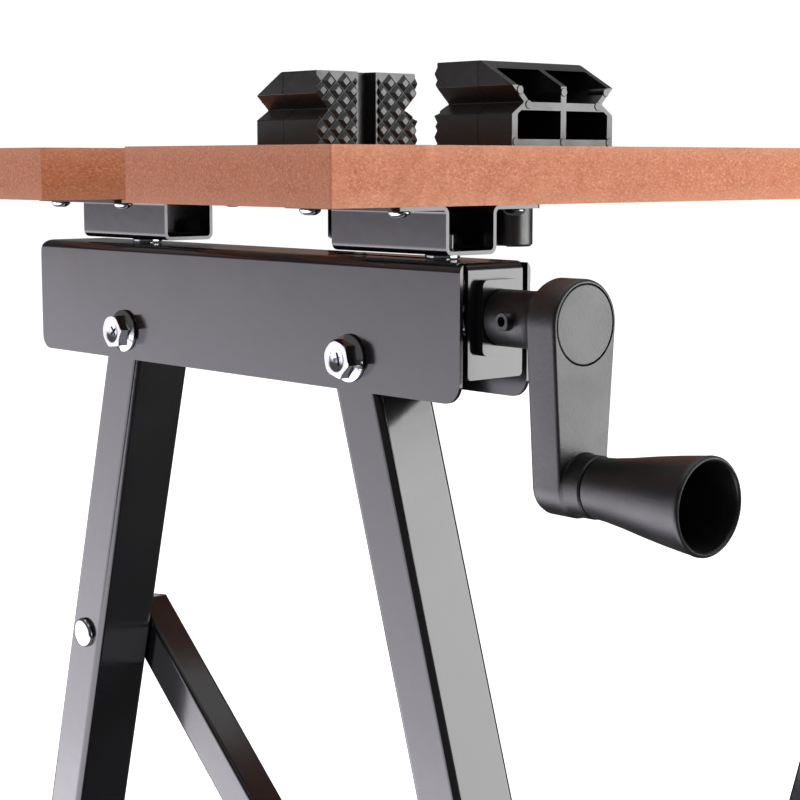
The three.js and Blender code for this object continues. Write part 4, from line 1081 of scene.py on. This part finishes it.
def knurl_tree():
    """Rows of cut-off pyramids, each row half a pitch along from the last, held inside a panel."""
    tree = bpy.data.node_groups.new("knurl", "GeometryNodeTree")
    tree.interface.new_socket("Geometry", in_out="INPUT", socket_type="NodeSocketGeometry")
    for label, value in (
        ("Pitch Across", 9.07), ("Pitch Up", 8.77), ("Rise", KNURL_RISE), ("Sink", 0.05),
        ("Tip", 2.0), ("Gap", 0.04),
    ):
        socket = tree.interface.new_socket(label, in_out="INPUT", socket_type=FLOAT)
        socket.default_value = value
    tree.interface.new_socket("Finish", in_out="INPUT", socket_type="NodeSocketMaterial")
    tree.interface.new_socket("Geometry", in_out="OUTPUT", socket_type="NodeSocketGeometry")
    given = tree.nodes.new("NodeGroupInput").outputs
    across, up = given["Pitch Across"], given["Pitch Up"]

    def rows(shift):
        wide = math_node(tree, "MULTIPLY", across, 8.0)
        tall = math_node(tree, "MULTIPLY", up, 6.0)
        grid = add(
            tree,
            "GeometryNodeMeshGrid",
            {"Size X": wide, "Size Y": tall, "Vertices X": 9, "Vertices Y": 7},
        ).outputs["Mesh"]
        offset = add(
            tree,
            "ShaderNodeCombineXYZ",
            {
                0: math_node(tree, "MULTIPLY", across, shift),
                1: math_node(tree, "MULTIPLY", up, shift),
                2: math_node(tree, "MULTIPLY", given["Sink"], -1.0),
            },
        ).outputs[0]
        return add(
            tree, "GeometryNodeTransform", {"Geometry": grid, "Translation": offset}
        ).outputs[0]

    points = tree.nodes.new("GeometryNodeJoinGeometry")
    tree.links.new(rows(0.0), points.inputs[0])
    tree.links.new(rows(0.5), points.inputs[0])
    depth = math_node(tree, "ADD", given["Rise"], given["Sink"])
    base = math_node(tree, "SUBTRACT", math_node(tree, "DIVIDE", across, 2.0), given["Gap"])
    pyramid = add(
        tree,
        "GeometryNodeMeshCone",
        {"Vertices": 4, "Radius Top": given["Tip"], "Radius Bottom": base, "Depth": depth},
    ).outputs["Mesh"]
    ratio = math_node(tree, "DIVIDE", up, across)
    size = add(tree, "ShaderNodeCombineXYZ", {0: 1.0, 1: ratio, 2: 1.0}).outputs[0]
    placed = add(
        tree,
        "GeometryNodeInstanceOnPoints",
        {"Points": points.outputs[0], "Instance": pyramid, "Scale": size},
    ).outputs[0]
    real = add(tree, "GeometryNodeRealizeInstances", {"Geometry": placed}).outputs[0]
    held = tree.nodes.new("GeometryNodeMeshBoolean")
    held.operation = "INTERSECT"
    held.solver = "MANIFOLD"
    tree.links.new(real, held.inputs["Mesh 2"])
    tree.links.new(given["Geometry"], held.inputs["Mesh 2"])
    shown = add(
        tree, "GeometryNodeSetMaterial", {"Geometry": held.outputs["Mesh"], "Material": given["Finish"]}
    )
    out = tree.nodes.new("NodeGroupOutput")
    tree.links.new(shown.outputs[0], out.inputs["Geometry"])
    return tree


def knurl_panel():
    """The knurled end's outline without its slot, drawn flat: x across, y up, z outwards."""
    panel = prism(dog_profile(0.0), -0.2, KNURL_RISE + 0.2, "z")
    cut(panel, prism([(-6.9, -1), (6.9, -1), (6.9, 37), (-6.9, 37)], -2, 4, "z"))
    return panel


def bench_dogs(knurl):
    shape = bench_dog_body()
    softened(shape, 0.25, 2)
    for end in ("front", "rear"):
        for side in ("left", "right"):
            node = f"{end}_{side}_dog"
            body = node + "_body"
            low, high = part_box(node)
            x = (low.x + high.x) / 2
            y = (low.y + high.y) / 2
            turn = 0 if end == "front" else TAU / 2
            place = Matrix.Translation((x, y, high.z - DOG_HEIGHT * MM)) @ Matrix.Rotation(turn, 4, "Z")
            dog = bpy.data.objects.new(node, shape.data.copy())
            bpy.context.scene.collection.objects.link(dog)
            finished(dog, node, body, "dog_plastic", place @ Matrix.Scale(MM, 4), 0)
            panel = knurl_panel()
            pyramids = generated(
                panel, knurl, node + "_knurl", body, "dog_plastic", Finish=FINISHES["dog_plastic"]
            )
            upright = Matrix.Translation((0, (DOG_HALF_LENGTH - KNURL_RISE) * MM, 0)) @ Matrix.Rotation(
                TAU / 4, 4, "X"
            ) @ Matrix.Scale(-1, 4, (0, 0, 1))
            turned(pyramids, place @ upright)
    bpy.data.objects.remove(shape)


# ---- Assembly ----
def side_pieces(side):
    beam(side, "top_frame")
    bracket(side, "front", "front_jaw")
    bracket(side, "rear", "top_frame")
    bracket_bolt(side, "front", "front_jaw")
    bracket_bolt(side, "rear", "top_frame")
    refined(side + "_spindle_nut", "front_jaw", "bright_zinc", 0.5)
    spindle_bearing(side, "top_frame")
    crank = side + "_crank"
    spindle(side, crank)
    crank_arm(side, crank)
    crank_cap(side, crank)
    crank_pin(side, crank)
    grip_axle(side, crank)
    crank_grip(side, side + "_grip")
    for end in ("front", "rear"):
        leg(side, end, end + "_frame")
        foot(side, end, end + "_frame")
        leg_bolt(side, end, "top_frame")
        leg_nut(side, end, "top_frame")
    brace(side, side + "_brace_arm")
    brace_rivet(side, "rear_frame")
    locking_knob(side, side + "_knob")


jaw_board("front", "front_jaw")
jaw_board("rear", "top_frame")
side_pieces("left")
side_pieces("right")
crossbar("front", "front_frame")
crossbar("rear", "rear_frame")
screws = screws_tree(7)
board_screws("front", "front_jaw", screws)
board_screws("rear", "top_frame", screws)
bench_dogs(knurl_tree())


# ---- Studio ----
def card(name, at, towards, width, height):
    """A plane that faces a point, standing upright."""
    shape = [(-width / 2, -height / 2, 0), (width / 2, -height / 2, 0), (width / 2, height / 2, 0),
             (-width / 2, height / 2, 0)]
    mesh = bpy.data.meshes.new(name)
    mesh.from_pydata(shape, [], [(0, 1, 2, 3)])
    obj = bpy.data.objects.new(name, mesh)
    bpy.context.scene.collection.objects.link(obj)
    obj.location = at
    obj.rotation_euler = (Vector(towards) - Vector(at)).to_track_quat("Z", "Y").to_euler()
    return obj


WHITE = (1.0, 1.0, 1.0, 1.0)
COOL = (0.95, 0.91, 1.0, 1.0)


def reflector(name, at, towards, width, height, bottom, top, fade, tint):
    """A glowing card that only shows as a reflection, its glow changing from bottom to top.

    The glow fades out over the last stretch of both sides and of the top edge.
    """
    obj = card(name, at, towards, width, height)
    made, tree, shader = material(name)
    coordinates = tree.nodes.new("ShaderNodeTexCoord")
    place = add(tree, "ShaderNodeSeparateXYZ", {0: coordinates.outputs["Object"]})
    glow = ranged(tree, place.outputs["Y"], -height / 2, height / 2, bottom, top)
    across = math_node(tree, "ABSOLUTE", place.outputs["X"])
    sides = ranged(tree, across, width / 2 - fade, width / 2, 1.0, 0.0)
    upper = ranged(tree, place.outputs["Y"], height / 2 - fade, height / 2, 1.0, 0.25)
    glow = math_node(tree, "MULTIPLY", math_node(tree, "MULTIPLY", glow, sides), upper)
    shader.inputs["Base Color"].default_value = (0, 0, 0, 1)
    shader.inputs["Emission Color"].default_value = tint
    tree.links.new(glow, shader.inputs["Emission Strength"])
    obj.data.materials.append(made)
    obj.visible_camera = obj.visible_diffuse = obj.visible_shadow = obj.visible_transmission = False


def stage_floor():
    """A pale floor, white from above, dim in the paint's reflections and clear from below."""
    bpy.ops.mesh.primitive_plane_add(size=16, location=(0, 0, 0))
    floor = bpy.context.object
    floor.name = "floor"
    made, tree, shader = material("floor")
    place = tree.nodes.new("ShaderNodeTexCoord").outputs["Object"]
    path = tree.nodes.new("ShaderNodeLightPath")
    cloud = ranged(tree, noise(tree, place, 3.0, 3.0), 0.3, 0.7)
    tone = mixed(tree, cloud, (0.86, 0.86, 0.86, 1), (0.9, 0.9, 0.9, 1))
    tone = mixed(tree, path.outputs["Is Glossy Ray"], tone, (0.12, 0.12, 0.12, 1))
    tree.links.new(tone, shader.inputs["Base Color"])
    shader.inputs["Roughness"].default_value = 0.9
    shader.inputs["Specular IOR Level"].default_value = 0.1
    shader.inputs["Emission Color"].default_value = (1, 1, 1, 1)
    glow = math_node(tree, "MULTIPLY", path.outputs["Is Camera Ray"], 0.9)
    tree.links.new(glow, shader.inputs["Emission Strength"])
    below = tree.nodes.new("ShaderNodeNewGeometry").outputs["Backfacing"]
    tree.links.new(math_node(tree, "SUBTRACT", 1.0, below), shader.inputs["Alpha"])
    floor.data.materials.append(made)


def softbox(name, at, towards, width, height, radiance, mirrored):
    """A soft light; mirrored says whether it shows in reflections."""
    light = bpy.data.lights.new(name, "AREA")
    light.shape = "RECTANGLE"
    light.size, light.size_y = width, height
    light.energy = radiance * math.pi * width * height
    obj = bpy.data.objects.new(name, light)
    bpy.context.scene.collection.objects.link(obj)
    obj.location = at
    obj.rotation_euler = (Vector(towards) - Vector(at)).to_track_quat("-Z", "Y").to_euler()
    obj.visible_camera = False
    obj.visible_glossy = mirrored


def white_world():
    """White behind the bench, softer as light and dim in reflections."""
    world = bpy.data.worlds.new("studio")
    bpy.context.scene.world = world
    world.use_nodes = True
    tree = world.node_tree
    path = tree.nodes.new("ShaderNodeLightPath")
    lit = ranged(tree, path.outputs["Is Camera Ray"], 0.0, 1.0, 0.45, 1.05)
    glossy = ranged(tree, path.outputs["Is Glossy Ray"], 0.0, 1.0, 1.0, 0.4)
    shader = tree.nodes["Background"]
    shader.inputs["Color"].default_value = (1, 1, 1, 1)
    tree.links.new(math_node(tree, "MULTIPLY", lit, glossy), shader.inputs["Strength"])


def camera():
    made = bpy.data.cameras.new("camera")
    made.lens = 83.62
    made.sensor_width = 36
    obj = bpy.data.objects.new("camera", made)
    bpy.context.scene.collection.objects.link(obj)
    obj.location = (-0.7870, -0.5986, 0.7840)
    obj.rotation_euler = (math.radians(82.72), 0, math.radians(-41.44))
    made.clip_start = 0.02
    bpy.context.scene.camera = obj


stage_floor()
white_world()
reflector("left_card", (-1.45, 1.15, 0.39), (-0.34, 0.05, 0.39), 2.4, 0.78, 5.4, 2.1, 0.12, COOL)
reflector("left_floor_card", (-1.15, 0.45, 0.004), (-1.15, 0.45, 1.0), 1.3, 2.2, 6.2, 6.2, 0.15, COOL)
reflector("right_card", (0.72, -1.33, 0.66), (-0.33, -0.1, 0.66), 1.7, 1.3, 7.8, 9.4, 0.12, WHITE)
softbox("front_right", (0.9, -1.15, 1.1), (-0.15, 0.0, 0.72), 0.9, 0.9, 6.4, mirrored=False)
softbox("rear_left", (-1.2, 1.25, 1.05), (-0.4, 0.2, 0.78), 0.9, 0.9, 2.3, mirrored=False)
softbox("overhead", (0.0, 0.0, 2.8), (0.0, 0.0, 0.0), 3.2, 3.2, 1.2, mirrored=True)
camera()
bpy.context.scene.view_settings.view_transform = "Standard"
